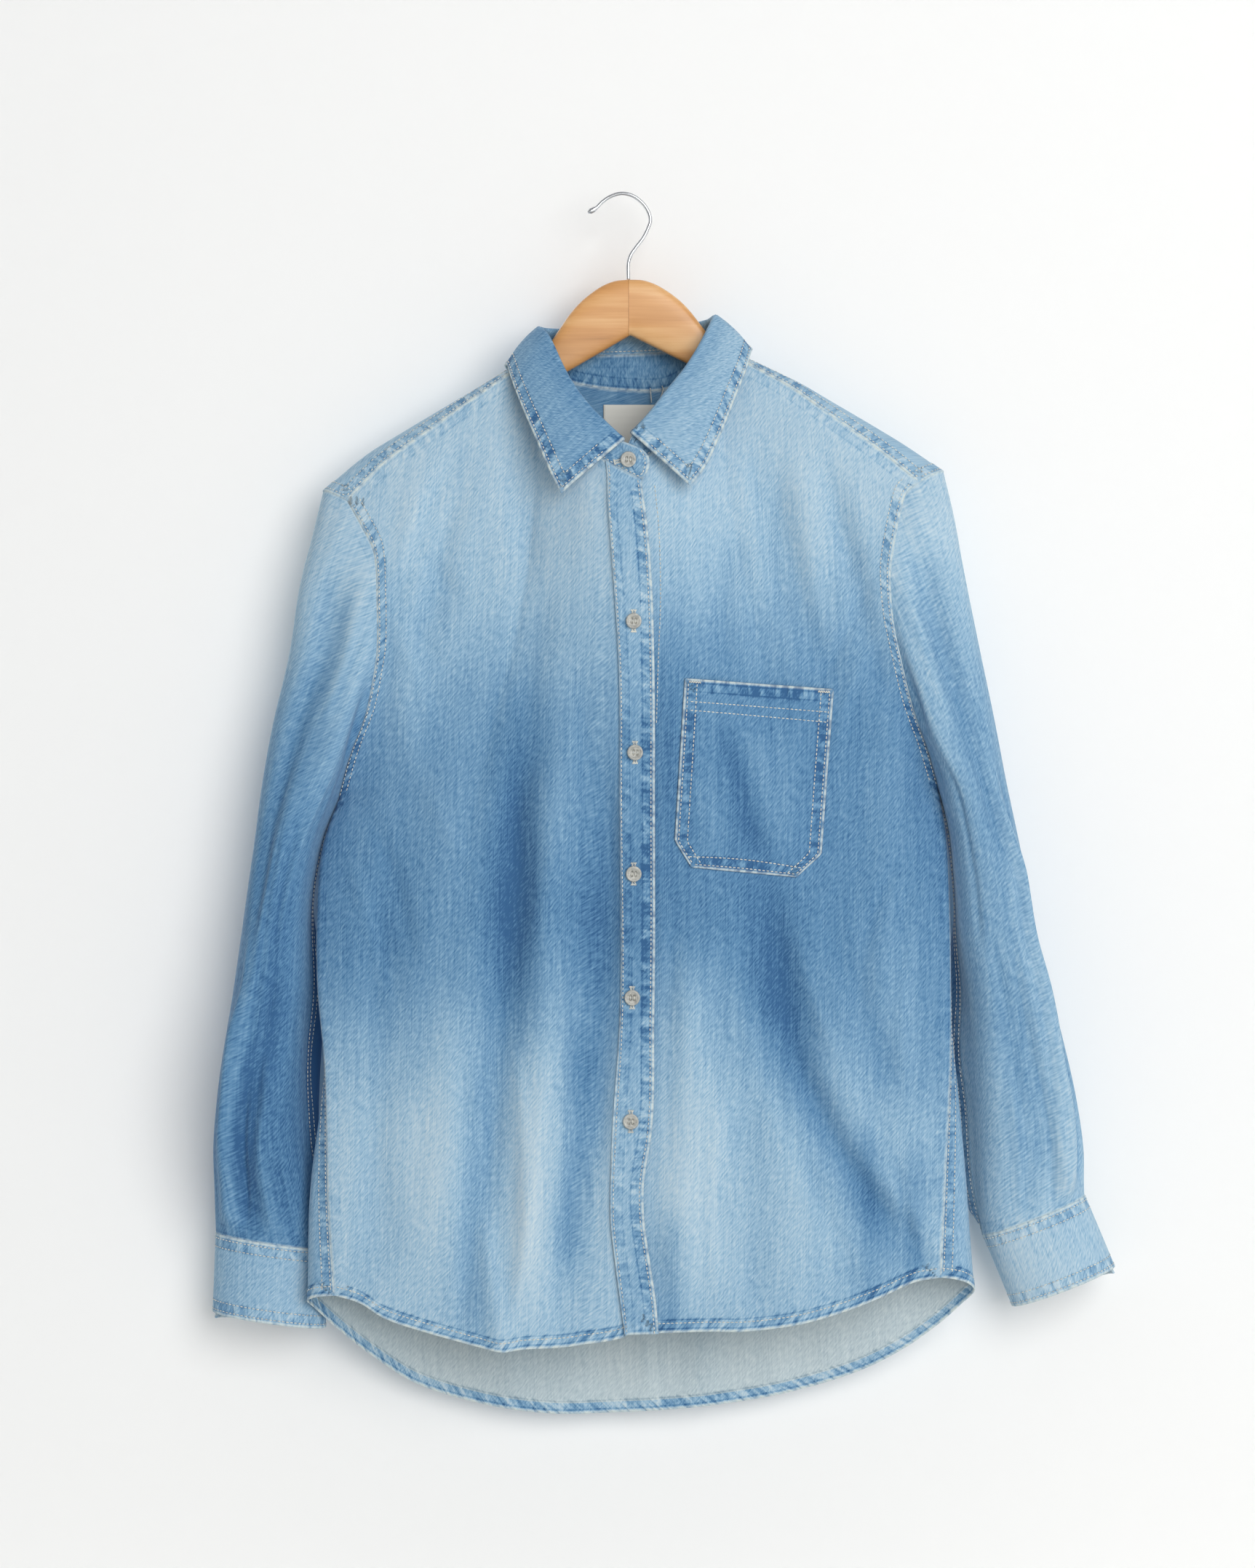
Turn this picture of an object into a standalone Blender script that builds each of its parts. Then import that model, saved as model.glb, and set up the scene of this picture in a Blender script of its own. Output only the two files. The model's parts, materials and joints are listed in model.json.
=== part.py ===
"""A denim shirt on a wooden hanger, built as it is cut and sewn.

Every piece of cloth is a thin wall. Its outer side is a grid of points between seam lines, and
neighbours share those lines, so the pieces meet along them with SEAM_GAP between. Sizes are in
millimetres. X runs to the left of whoever wears the shirt, -Y is the front and +Z is up. The
origin is the inner top of the hook, where the hanger hangs. Right and left are the wearer's, so
the right side lies at -X.
"""

import bpy
import numpy as np
from mathutils import Matrix, Vector

MM = 0.001

# ---- Cloth
SEAM_GAP = 0.35
CLOTH = 1.4                 # one layer of denim
DOUBLE = 1.9                # two layers, as in the collar, the yoke and the cuffs
LABEL_THICK = 0.5

# ---- Grid: cells along each seam line, the same for both pieces that meet there
NECK_CELLS = 6
SHOULDER_CELLS = 7
ARM_FRONT_CELLS = 10
ARM_END_CELLS = 4
ARM_BACK_CELLS = 10
SIDE_CELLS = 14
YOKE_SEAM_CELLS = 20
SLEEVE_ROWS = 18
FALL_ROWS = 4
STAND_ROWS = 3
CUFF_ROWS = 3
CUFF_COLUMNS = 26
# The first cell of the neck seam is as wide as the front band, and the others are equal.
NECK_SHARES = [0.0, 0.21, 0.37, 0.53, 0.69, 0.85, 1.0]

# ---- Seam lines: x, y, z at a few stations of each. Right is at -X.
SHOULDER = {
    "right": [(-67, -10, -122), (-85, -12, -135), (-114.5, -13, -155.8), (-149, -14, -180.4),
              (-172, -15, -197.5), (-192, -16, -217.5), (-199.5, -16, -225.5)],
    "left": [(77, -10, -115), (96, -10, -125.7), (125, -11, -141.8), (148, -13, -158.2),
             (171, -14, -174.6), (194, -15, -191.7), (218.6, -16, -212)],
}
NECK_FRONT = {
    "right": [(14.5, -50, -212.5), (-11, -48.8, -199), (-33, -41.5, -181), (-46, -33, -164),
              (-57, -23.5, -144), (-64, -14.5, -128), (-67, -10, -122)],
    "left": [(-7, -45.5, -211), (17, -44.5, -198), (40, -39, -178), (55, -31, -159),
             (67, -21, -137), (75, -13, -120), (77, -10, -115)],
}
NECK_BACK = [(-67, -10, -122), (-67, 0, -119), (-64, 8.5, -120.5), (-53, 12.5, -129),
             (-30, 14, -138), (9, 15, -142.5), (36, 14, -141), (61, 12.5, -126),
             (74, 8.5, -114), (77, 0, -112), (77, -10, -115)]
ARM_FRONT = {
    "right": [(-199.5, -16, -225.5), (-188.8, -22, -244.3), (-179.2, -26, -264.7),
              (-177, -28, -300), (-177, -28, -336), (-180, -25, -356), (-186, -20, -383.4),
              (-197.7, -12, -413), (-206.9, -2, -445)],
    "left": [(218.6, -16, -212), (209.4, -20, -220), (204.7, -23.5, -234), (199.9, -27, -257.9),
             (197, -28, -280), (199, -28, -312), (205.3, -26, -342.7), (214.7, -21, -379.7),
             (225.3, -13, -408), (234.2, -2, -437)],
}
ARM_END = {
    "right": [(-199.5, -16, -225.5), (-213, -9, -218.8), (-218.3, 0, -217.7), (-214, 8, -225),
              (-205, 12, -243)],
    "left": [(218.6, -16, -212), (232, -9, -205), (238, 0, -203.3), (233, 8, -210.5),
             (224, 12, -229)],
}
ARM_BACK = {
    "right": [(-205, 12, -243), (-192, 15, -275), (-184, 16, -320), (-186, 14, -365),
              (-197, 8, -412), (-206.9, -2, -445)],
    "left": [(224, 12, -229), (212, 15, -262), (204, 16, -307), (207, 14, -352),
             (221, 8, -404), (234.2, -2, -437)],
}
SIDE = {
    "right": [(-206.9, -2, -445), (-217.5, -9, -478), (-221, -16, -515), (-220.5, -24, -578),
              (-214.4, -31, -642), (-211.5, -36, -735), (-207, -38, -804.4)],
    "left": [(234.2, -2, -437), (239.5, -9, -474), (241, -16, -520), (241.3, -24, -582),
             (240.4, -31, -636), (235.5, -36, -728), (232.4, -38, -791.2)],
}
NECK_MIDDLE = (5, -18, 0)    # middle of the neck opening, seen from above
YOKE_SEAM = [(-205, 12, -243), (-120, 16, -241), (8, 17, -237), (135, 16, -230), (224, 12, -229)]
HEM_FRONT = {
    "right": [(26.9, -50, -830.5), (2, -50, -832), (-36, -50, -839.8), (-70, -52, -841.6),
              (-85, -53, -843.2), (-100, -52, -840.3), (-146, -47, -828.4), (-171, -44, -820),
              (-189, -41, -809.4), (-207, -38, -804.4)],
    "left": [(3.5, -48, -831), (27, -48, -830.3), (64, -49, -829), (90, -51, -828.7),
             (125, -52, -824.5), (156, -50, -816.9), (186, -47, -806), (213, -42, -794.8),
             (232.4, -38, -791.2)],
}
HEM_BACK = [(-207, -38, -804.4), (-221, -34, -806), (-228, -25, -809.8), (-225, -14, -815),
            (-208, -1, -832.7), (-182, 8, -854.7), (-150, 14, -876), (-104, 16.5, -890.6),
            (-54, 17, -898), (-12, 17, -898), (52, 17, -893.8), (118, 17, -884.2),
            (172, 15, -868.3), (207, 10, -850.7), (234, 3, -830.7), (251, -8, -813.7),
            (259.2, -20, -803), (253, -31, -796), (243, -36, -792.7), (232.4, -38, -791.2)]

# How far the back comes round past the side seam: share of the way down the seam, right, left
SIDE_WRAP = [(0.0, 0, 0), (0.3, 0, 3), (0.45, 5, 13), (0.6, 17, 22), (0.75, 25, 29), (1.0, 29, 34)]
WRAP_AT = 0.045             # where across the back that bulge is widest
BACK_DEPTH = 17.0           # the back's y at its middle

# The front band: z, x of its stitched edge, x of its folded edge
PLACKET = [(-212.5, -10, 14.5), (-246, -7.4, 18.9), (-289, -4.2, 22.2), (-340, -1, 23.8),
           (-445, 0, 24.3), (-603, 0, 23.8), (-687, -5.5, 21.7), (-722, -6.8, 16.4),
           (-745, -7, 16.4), (-779, -3.5, 20.8), (-809, 0.5, 25.2), (-831, 3.5, 26.9)]
FRONT_DEPTH = -50.0         # y of the outer side along the middle of the front
LAP = 4.2                   # how much further in the left front lies where it goes under
LAP_UNDER = 26.0            # how far it goes under
PLACKET_EDGE = 0.8          # how far the band reaches past the front's own edge

# Soft folds of the fronts: x, z at the top, middle and bottom; half width; height, - is a trough
FRONT_FOLDS = [
    (-57, -320, -81, -552, -98, -780, 15, -6.0),
    (-45, -360, -56, -560, -64, -800, 14, 5.0),
    (-24, -330, -20, -499, -36, -800, 12, -5.5),
    (-112, -165, -124, -240, -142, -325, 13, -4.5),
    (-80, -160, -76, -210, -68, -270, 10, -3.0),
    (-150, -190, -158, -300, -150, -420, 14, 3.0),
    (-128, -360, -122, -560, -130, -790, 20, 3.0),
    (-165, -460, -172, -620, -176, -790, 15, -3.5),
    (-96, -730, -92, -790, -88, -850, 8, 4.0),
    (104, -470, 125, -610, 208, -785, 19, -9.0),
    (128, -600, 165, -680, 222, -760, 12, 4.5),
    (150, -172, 168, -270, 198, -370, 13, -4.0),
    (108, -185, 122, -260, 146, -350, 13, -4.5),
    (82, -240, 76, -300, 82, -350, 11, -3.0),
    (58, -520, 50, -660, 46, -810, 18, 5.0),
    (96, -640, 92, -730, 100, -815, 15, -3.5),
    (186, -330, 196, -450, 190, -600, 16, 3.5),
    (150, -520, 178, -600, 200, -660, 13, -3.0),
]
BACK_FOLDS = [
    (-120, -260, -128, -520, -118, -860, 18, 6.0),
    (-60, -250, -66, -540, -78, -880, 16, -6.0),
    (0, -250, 6, -560, -10, -880, 20, 6.0),
    (64, -250, 72, -520, 60, -880, 15, -6.5),
    (126, -250, 120, -520, 136, -860, 18, 6.0),
    (-170, -330, -168, -520, -180, -820, 14, -4.0),
    (176, -300, 184, -520, 196, -800, 14, -4.0),
]

# ---- Collar: x, y, z of the line it folds on and of its outer edge. The fronts run from the middle
# to the shoulder, and the back from right to left.
ROLL = {
    "right": [(3.5, -52.5, -183), (-14, -48, -165.7), (-26.5, -42, -150.5), (-38, -34, -131.5),
              (-50, -19, -105), (-56.5, -6, -97)],
    "back": [(-56.5, -6, -97), (-50, 8, -97), (-30, 16, -96), (6, 18, -95), (42, 16, -93),
             (60, 8, -91), (67.3, -6, -88.6)],
    "left": [(7.5, -48.8, -178), (21.7, -46, -162.5), (32.3, -41, -147.8), (45, -34, -130.5),
             (54, -27, -115.7), (62, -17, -100), (67.3, -6, -88.6)],
}
FALL_EDGE = {
    "right": [(-42.5, -55, -222.5), (-50, -53, -207.5), (-60.5, -47, -183), (-70.3, -37, -160),
              (-78, -26, -140.5), (-83, -12, -125)],
    "back": [(-83, -12, -125), (-84, 8, -126), (-62, 22, -146), (6, 27, -156), (68, 22, -141),
             (96, 8, -114), (96.6, -12, -115)],
    "left": [(50.8, -55, -217), (61.6, -52.5, -203), (72.8, -46, -179.3), (83.5, -37, -152.3),
             (92, -25, -131), (96.6, -12, -115)],
}
# The fold in section, from the neck side over the top: how far below the fold line, how far out
FALL_FOLD = [(2.6, -1.9), (0.4, -0.7), (0.4, 1.9), (2.6, 3.2)]
ROLL_OUT = 1.5              # how far the cloth's middle lies outside the fold's inner side
FALL_CROWN = 2.0            # how far the fall bulges between its fold and its edge
# The seam of stand and fall lies this far below the fold line, at the front and at the back
STAND_SEAM = (3.4, 21.0)
# The round end of the stand, from its top edge to the neck seam
STAND_TAB = [(15.4, -52.6, -190.6), (20.3, -52.4, -196.5), (20.6, -52, -203.5), (17.8, -51.6, -210)]

# ---- Sleeves: z, outer x, inner x at the front and at the back, front y, back y
SLEEVE = {
    "right": [(-218, -219, -200, -200, -12, 10), (-250, -226, -187, -190, -28, 17),
              (-285, -234.6, -179, -184, -33, 21), (-338, -242.5, -179, -184, -37, 24),
              (-392, -254.8, -192, -190, -40, 26), (-445, -263.8, -214, -201, -42, 27),
              (-470, -267, -223, -212, -43, 28), (-498, -271, -228.5, -219, -44, 28),
              (-583, -283.3, -234, -222, -45, 29), (-660, -295.4, -238, -224, -43, 30),
              (-700, -299, -238, -223, -38, 31), (-735, -299, -231, -219, -28, 33),
              (-790, -299, -222, -212, -24, 33)],
    "left": [(-203, 239, 219, 219, -12, 10), (-236, 246, 206, 209, -28, 17),
             (-272, 252.5, 199, 203, -33, 21), (-330, 263.7, 204, 207, -37, 24),
             (-385, 274.5, 221, 218, -40, 26), (-437, 284, 241, 228, -42, 27),
             (-465, 290, 246, 237, -43, 28), (-498, 297, 248, 242, -44, 28),
             (-549, 306, 251, 245, -45, 28), (-583, 316, 255.7, 247, -45, 29),
             (-633, 328.5, 258, 251, -44, 30), (-668, 336, 261, 255, -42, 31),
             (-702, 341, 263.5, 258, -38, 32), (-735, 342, 265, 261, -33, 33),
             (-790, 352, 272, 270, -28, 33)],
}
SLEEVE_SQUARE = 2.4         # 2 is an ellipse, more is squarer
# Folds along a sleeve: z and angle at the top, z and angle at the bottom, half width in degrees,
# height. The angle starts at the inner side and runs round by the front.
SLEEVE_FOLDS = {
    "right": [(-235, 74, -400, 44, 16, -9.0), (-240, 104, -420, 76, 16, 4.5),
              (-240, 136, -520, 126, 14, -5.0), (-430, 84, -640, 70, 18, -4.0),
              (-560, 112, -800, 146, 13, 7.0), (-600, 88, -800, 112, 13, -5.0),
              (-300, 236, -700, 250, 20, 5.0), (-340, 300, -760, 285, 18, -5.0)],
    "left": [(-222, 74, -380, 44, 16, -9.0), (-225, 100, -420, 70, 16, 5.0),
             (-230, 132, -470, 112, 16, -6.0), (-420, 140, -760, 132, 13, 6.0),
             (-440, 162, -760, 152, 11, -5.0), (-520, 84, -760, 78, 16, -3.5),
             (-300, 236, -700, 250, 20, 5.0), (-340, 300, -740, 285, 18, -5.0)],
}
# ---- Cuffs: middle of the top edge x, y, z; half width; half depth; slope of the top edge, where
# + runs down towards the body; shift of the bottom edge in x; height
CUFF = {
    "right": (-256.4, 9, -770, 42, 25, 8.3, -2.3, 57.5),
    "left": (304.6, 4, -750.5, 40.2, 26, 21.3, 21.9, 56.4),
}
CUFF_LAP_DEGREES = 50.0     # how far the cuff's ends pass each other
CUFF_LAP_AT = 232.0         # angle of the outer end, counted as on the sleeves
CUFF_LAP_DROP = 5.0         # how much lower the inner end hangs
# The band of the sleeve's slit, in rows and columns of the sleeve's grid
BAND_ROWS, BAND_COLUMN, BAND_THICK = 5, 15, 1.2

# ---- Pocket: x, z of its corners from the upper right of the wearer, and how it is stitched on
POCKET = [(47.4, -356.6), (155.8, -364), (146.5, -484), (128.4, -500.6), (51.9, -493.2),
          (40, -474)]
POCKET_COLUMNS, POCKET_ROWS = 8, 8
POCKET_GAP = 0.7            # it lies this far off the front

# ---- Buttons
BUTTON_RADIUS = 5.7
BUTTON_THICK = 2.6
BUTTON_RIM = 1.1
BUTTON_DISH = 0.6
BUTTON_SIDES = 14
BUTTON_OFF = 0.4            # it stands off the cloth by this much
CUFF_BUTTON_BEFORE = 12.0   # degrees before the outer end of the cuff
HOLE_RADIUS = 0.75
HOLE_OUT = 1.35
BUTTONS = [("button_stand", 6.2, -198.3), ("button_1", 10.1, -315.1), ("button_2", 11.1, -410.2),
           ("button_3", 10.1, -498), ("button_4", 9, -587.5), ("button_5", 8, -677)]

# ---- Label inside the back yoke: x from and to, z from and to
LABEL = (-12, 28, -153, -186)
LABEL_GAP = 0.5

# ---- Hanger: tilt to the wearer's right, middle line left of the hook's top, half thickness
TILT = 1.8
HANGER_X = 4.45
HANGER_HALF = 6.0
HANGER_ROUND = 2.4
# Upper edge of one arm: distance from the middle, height below the hook's inner top
HANGER_TOP = [(0, -62.2), (10, -62.9), (19, -66), (27, -70.8), (36, -77.8), (44, -86.3),
              (51, -95.8), (58, -105.5), (66, -117), (74, -124.5), (84, -131.5), (95, -138)]
HANGER_SLOPE = 0.62
HANGER_REACH = 203.0
HANGER_END = 7.0            # radius of the arm's end
HANGER_UNDER = -103.2       # underside at the middle
HANGER_UNDER_SLOPE = 0.54

# ---- Hook: wire radius and its middle line, x and z
WIRE = 1.4
HOOK = [(6.3, -61.8), (6.2, -50.5), (8, -44), (11.8, -38.3), (17.3, -31), (21.2, -23), (22.4, -18.4),
        (21.3, -12.8), (17.5, -6.6), (11.8, -1.6), (6.2, 0.9), (0, 1.4), (-7.2, -0.9),
        (-12.9, -4.7), (-17.6, -9.4), (-23.6, -12.6)]
HOOK_POINTS, HOOK_SIDES = 44, 8
HOOK_BALL = (0.9, 1.55, 1.5, 1.1)   # wire radius as a share, at the last points of the free end

# ---- Colours, linear RGB
DENIM = (0.16, 0.32, 0.52)
DENIM_PALE = (0.31, 0.45, 0.58)
ECRU = (0.55, 0.53, 0.47)
SATIN = (0.50, 0.49, 0.46)
HONEY_WOOD = (0.68, 0.38, 0.15)
CHROME = (0.62, 0.62, 0.63)
BUTTON_GREY = (0.46, 0.45, 0.43)


# ------------------------------------------------------------------ curves and sheets
def smooth(stations, shares):
    """Points at these shares of the length of a smooth curve through the stations."""
    p = np.asarray(stations, float)
    s = np.concatenate([[0], np.cumsum(np.linalg.norm(np.diff(p, axis=0), axis=1))])
    s = s / s[-1]
    slope = np.diff(p, axis=0) / np.diff(s)[:, None]
    tangent = np.concatenate([slope[:1], (p[2:] - p[:-2]) / (s[2:] - s[:-2])[:, None], slope[-1:]])
    t = np.clip(np.asarray(shares, float), 0, 1)
    k = np.clip(np.searchsorted(s, t, side="right") - 1, 0, len(s) - 2)
    h = (s[k + 1] - s[k])[:, None]
    u = ((t - s[k])[:, None]) / h
    return ((2 * u**3 - 3 * u**2 + 1) * p[k] + (u**3 - 2 * u**2 + u) * h * tangent[k]
            + (3 * u**2 - 2 * u**3) * p[k + 1] + (u**3 - u**2) * h * tangent[k + 1])


def even(stations, cells):
    """The curve through the stations in equal cells."""
    return smooth(stations, np.linspace(0, 1, cells + 1))


def joined(*lines):
    """Lines that follow each other, with each shared point once."""
    return np.concatenate([lines[0], *[line[1:] for line in lines[1:]]])


def column(table, name_index, at):
    """One column of a table read at values of its first column, with smooth joins."""
    t = np.asarray(table, float)
    order = np.argsort(t[:, 0])
    x, y = t[order, 0], t[order, name_index]
    slope = np.gradient(y, x)
    at = np.clip(at, x[0], x[-1])
    k = np.clip(np.searchsorted(x, at, side="right") - 1, 0, len(x) - 2)
    h = x[k + 1] - x[k]
    u = (at - x[k]) / h
    return ((2 * u**3 - 3 * u**2 + 1) * y[k] + (u**3 - 2 * u**2 + u) * h * slope[k]
            + (3 * u**2 - 2 * u**3) * y[k + 1] + (u**3 - u**2) * h * slope[k + 1])


def ramp(x):
    """0 below 0, 1 above 1, and smooth between."""
    x = np.clip(x, 0, 1)
    return x * x * (3 - 2 * x)


def unit(vectors):
    return vectors / np.maximum(np.linalg.norm(vectors, axis=-1, keepdims=True), 1e-9)


def patch(left, right, top, bottom, across, depth, swell=0.0, hold=(1, 1)):
    """A sheet between four edge lines. It spans from left to right by the share `across`, or
    `depth` for y, bulges by `swell`, and takes in what the top and bottom lines need, which dies
    away down the sheet by the powers in `hold`."""
    share = np.stack([across, depth, across], -1)[None]
    sheet = left[:, None] + (right - left)[:, None] * share + swell
    v = np.linspace(0, 1, len(left))[:, None, None]
    return (sheet + (1 - v) ** hold[0] * (top - sheet[0])[None]
            + v ** hold[1] * (bottom - sheet[-1])[None])


def normals(sheet, closed=False, flip=False):
    """Unit normals of a grid of points, outwards for rows that run down and columns to the left
    as the sheet is looked at."""
    if closed:
        wide = np.concatenate([sheet[:, -1:], sheet, sheet[:, :1]], axis=1)
        along = (wide[:, 2:] - wide[:, :-2])
    else:
        along = np.gradient(sheet, axis=1)
    down = np.gradient(sheet, axis=0)
    n = unit(np.cross(along, down))
    return -n if flip else n


def fold_height(x, z, folds):
    """The height of soft folds at these places: each is a ridge or trough along a curve through
    its three points, bell-shaped across and dying away at its ends."""
    total = np.zeros_like(x)
    for x0, z0, x1, z1, x2, z2, width, height in folds:
        t = np.clip((z - z0) / (z2 - z0), -0.2, 1.2)
        middle = (z1 - z0) / (z2 - z0)
        bend = (x1 - x0 - (x2 - x0) * middle) / (middle * (middle - 1))
        centre = x0 + (x2 - x0) * t + bend * t * (t - 1)
        slope = ((x2 - x0) + bend * (2 * t - 1)) / (z2 - z0)
        distance = (x - centre) / np.sqrt(1 + slope**2)
        ends = ramp(t / 0.3) * ramp((1.12 - t) / 0.3)
        total = total + height * ends * np.exp(-((distance / width) ** 2))
    return total


# ------------------------------------------------------------------ meshes
def material(name, colour, roughness, metallic=0.0):
    made = bpy.data.materials.get(name) or bpy.data.materials.new(name)
    made.use_nodes = True
    shader = made.node_tree.nodes["Principled BSDF"]
    shader.inputs["Base Color"].default_value = (*colour, 1)
    shader.inputs["Roughness"].default_value = roughness
    shader.inputs["Metallic"].default_value = metallic
    return made


def add_mesh(name, points, faces, finish):
    mesh = bpy.data.meshes.new(name)
    mesh.from_pydata((np.asarray(points) * MM).tolist(), [], faces)
    mesh.materials.append(finish)
    mesh.validate()
    mesh.shade_smooth()
    mesh.set_sharp_from_angle(angle=np.radians(40))
    made = bpy.data.objects.new(name, mesh)
    bpy.context.scene.collection.objects.link(made)
    return made


def wall(name, outer, inward, thick, finish):
    """A closed wall of cloth from the grid of its outer side. `inward` points to its inner side."""
    rows, columns = outer.shape[:2]
    inner = outer + inward * thick
    points = np.concatenate([outer.reshape(-1, 3), inner.reshape(-1, 3)])
    far = rows * columns
    faces = []
    for i in range(rows - 1):
        for j in range(columns - 1):
            a, b = i * columns + j, i * columns + j + 1
            c, d = b + columns, a + columns
            faces += [(a, b, c, d), (far + a, far + d, far + c, far + b)]
    for j in range(columns - 1):
        a, b = j, j + 1
        c, d = a + (rows - 1) * columns, b + (rows - 1) * columns
        faces += [(b, a, far + a, far + b), (c, d, far + d, far + c)]
    for i in range(rows - 1):
        a, b = i * columns, (i + 1) * columns
        c, d = a + columns - 1, b + columns - 1
        faces += [(a, b, far + b, far + a), (d, c, far + c, far + d)]
    return add_mesh(name, points, faces, finish)


def blended(main, first=None, last=None, cells=3):
    """Directions along a seam, which pass over into those of the corners at its ends."""
    made = np.array(main, float)
    share = ramp(1 - np.arange(len(made)) / cells)[:, None]
    if first is not None:
        made = made * (1 - share) + first * share
    if last is not None:
        made = made * (1 - share[::-1]) + last * share[::-1]
    return unit(made)


def draw_in(sheet, edges):
    """The sheet with these edges drawn in from their seam lines by half the gap."""
    made = sheet.copy()
    steps = {"top": (np.s_[0], np.s_[1]), "bottom": (np.s_[-1], np.s_[-2]),
             "first": (np.s_[:, 0], np.s_[:, 1]), "last": (np.s_[:, -1], np.s_[:, -2])}
    for edge in edges:
        border, inside = steps[edge]
        along = unit(np.gradient(sheet[border], axis=0))
        step = sheet[inside] - sheet[border]
        step -= (step * along).sum(axis=-1, keepdims=True) * along
        made[border] += unit(step) * SEAM_GAP / 2
    return made


# ------------------------------------------------------------------ seam lines as grids need them
def sign(side):
    return -1 if side == "right" else 1


NECK = {side: smooth(NECK_FRONT[side], NECK_SHARES) for side in ("right", "left")}
SHOULDERS = {side: even(SHOULDER[side], SHOULDER_CELLS) for side in ("right", "left")}
ARM_F = {side: even(ARM_FRONT[side], ARM_FRONT_CELLS) for side in ("right", "left")}
ARM_E = {side: even(ARM_END[side], ARM_END_CELLS) for side in ("right", "left")}
ARM_B = {side: even(ARM_BACK[side], ARM_BACK_CELLS) for side in ("right", "left")}
SIDES = {side: even(SIDE[side], SIDE_CELLS) for side in ("right", "left")}
NECK_B = even(NECK_BACK, 2 * ARM_END_CELLS + YOKE_SEAM_CELLS)


def arm_outward(side, line):
    """The way out of the armhole's rim, shared by the body and the sleeve: away from the middle
    of the arm, and a little sideways."""
    ring = joined(ARM_F[side][::-1], ARM_E[side], ARM_B[side])
    away = line - ring.mean(axis=0)
    away[:, 0] = sign(side) * 0.45 * np.linalg.norm(away[:, 1:], axis=1)
    away[:, 1] *= 3.0
    return unit(away)


def side_outward(side):
    """The same for the side seam: outwards and a little to the front."""
    main = np.tile(unit(np.array([sign(side), -0.35, 0.0])), (SIDE_CELLS + 1, 1))
    return blended(main, first=arm_outward(side, ARM_F[side])[-1])


def neck_corner(side):
    """The same at the point where the neck and shoulder seams meet."""
    return unit(np.array([sign(side) * 0.8, -0.15, 0.57]))


def shoulder_outward(side):
    """The same for the shoulder seam, from the neck to the armhole."""
    main = np.tile(unit(np.array([0.0, -0.8, 0.6])), (SHOULDER_CELLS + 1, 1))
    return blended(main, first=neck_corner(side), last=arm_outward(side, ARM_F[side])[0])


def yoke_seam_outward():
    """The same for the seam of the yoke and the back, from right to left."""
    main = np.tile(np.array([0.0, 1.0, 0.0]), (YOKE_SEAM_CELLS + 1, 1))
    right, left = (arm_outward(side, ARM_B[side])[0] for side in ("right", "left"))
    return blended(main, first=right, last=left, cells=4)


def neck_outward(piece):
    """The same for the neck seam: between the way out of this piece and that of the stand."""
    sheet = yoke_sheet() if piece == "back" else front_sheet(piece)
    line = NECK_B if piece == "back" else NECK[piece]
    body = normals(sheet, flip=piece == "left")[0, :len(line)]
    main = body + unit((line - NECK_MIDDLE) * (1, 1, 0))
    if piece == "back":
        return blended(main, first=neck_corner("right"), last=neck_corner("left"))
    return blended(main, last=neck_corner(piece))


# ------------------------------------------------------------------ body
def front_sheet(side):
    """One front, from the neck and shoulder down to the hem, and from the middle to the side."""
    rows = ARM_FRONT_CELLS + SIDE_CELLS + 1
    u = np.linspace(0, 1, NECK_CELLS + SHOULDER_CELLS + 1)
    across = 1 - (1 - u) ** 1.5
    depth = 1 - np.sqrt(1 - across**2.5)
    neck, hem = NECK[side], smooth(HEM_FRONT[side], across)
    z = np.linspace(neck[0, 2], hem[0, 2], rows)
    if side == "right":
        x, y = column(PLACKET, 2, z), np.full(rows, FRONT_DEPTH)
    else:
        x, y = column(PLACKET, 2, z) - LAP_UNDER, np.full(rows, FRONT_DEPTH + LAP)
    middle = np.stack([x, y, z], -1)
    middle[0], middle[-1] = neck[0], hem[0]
    edge = joined(ARM_F[side], SIDES[side])
    sheet = patch(middle, edge, joined(neck, SHOULDERS[side]), hem, across, depth, hold=(2, 3))
    height = fold_height(sheet[..., 0], sheet[..., 2], FRONT_FOLDS)
    band = column(PLACKET, 1 if side == "right" else 2, sheet[..., 2])
    clear = ramp((sheet[..., 0] - band) * sign(side) / 16)
    seam = np.minimum(1, (1 - u) / 0.18)[None] * np.minimum(1, np.arange(rows) / 3.0)[:, None]
    sheet[..., 1] -= height * clear * ramp(seam)
    if side == "right":
        # The first cells are as wide as the band.
        sheet[1:-1, 1, 0] = column(PLACKET, 1, sheet[1:-1, 1, 2])
    return sheet


def front(side, finish):
    sheet = front_sheet(side)
    inward = -normals(sheet, flip=side == "left")
    inward[0, :NECK_CELLS + 1] = -neck_outward(side)
    inward[0, NECK_CELLS:] = -shoulder_outward(side)
    inward[:ARM_FRONT_CELLS + 1, -1] = -arm_outward(side, ARM_F[side])
    inward[ARM_FRONT_CELLS:, -1] = -side_outward(side)
    sheet = draw_in(sheet, ("top", "last"))
    if side == "left":
        return wall("front_left", sheet[:, ::-1], inward[:, ::-1], CLOTH, finish), sheet
    return wall("front_right", sheet, inward, CLOTH, finish), sheet


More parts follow.
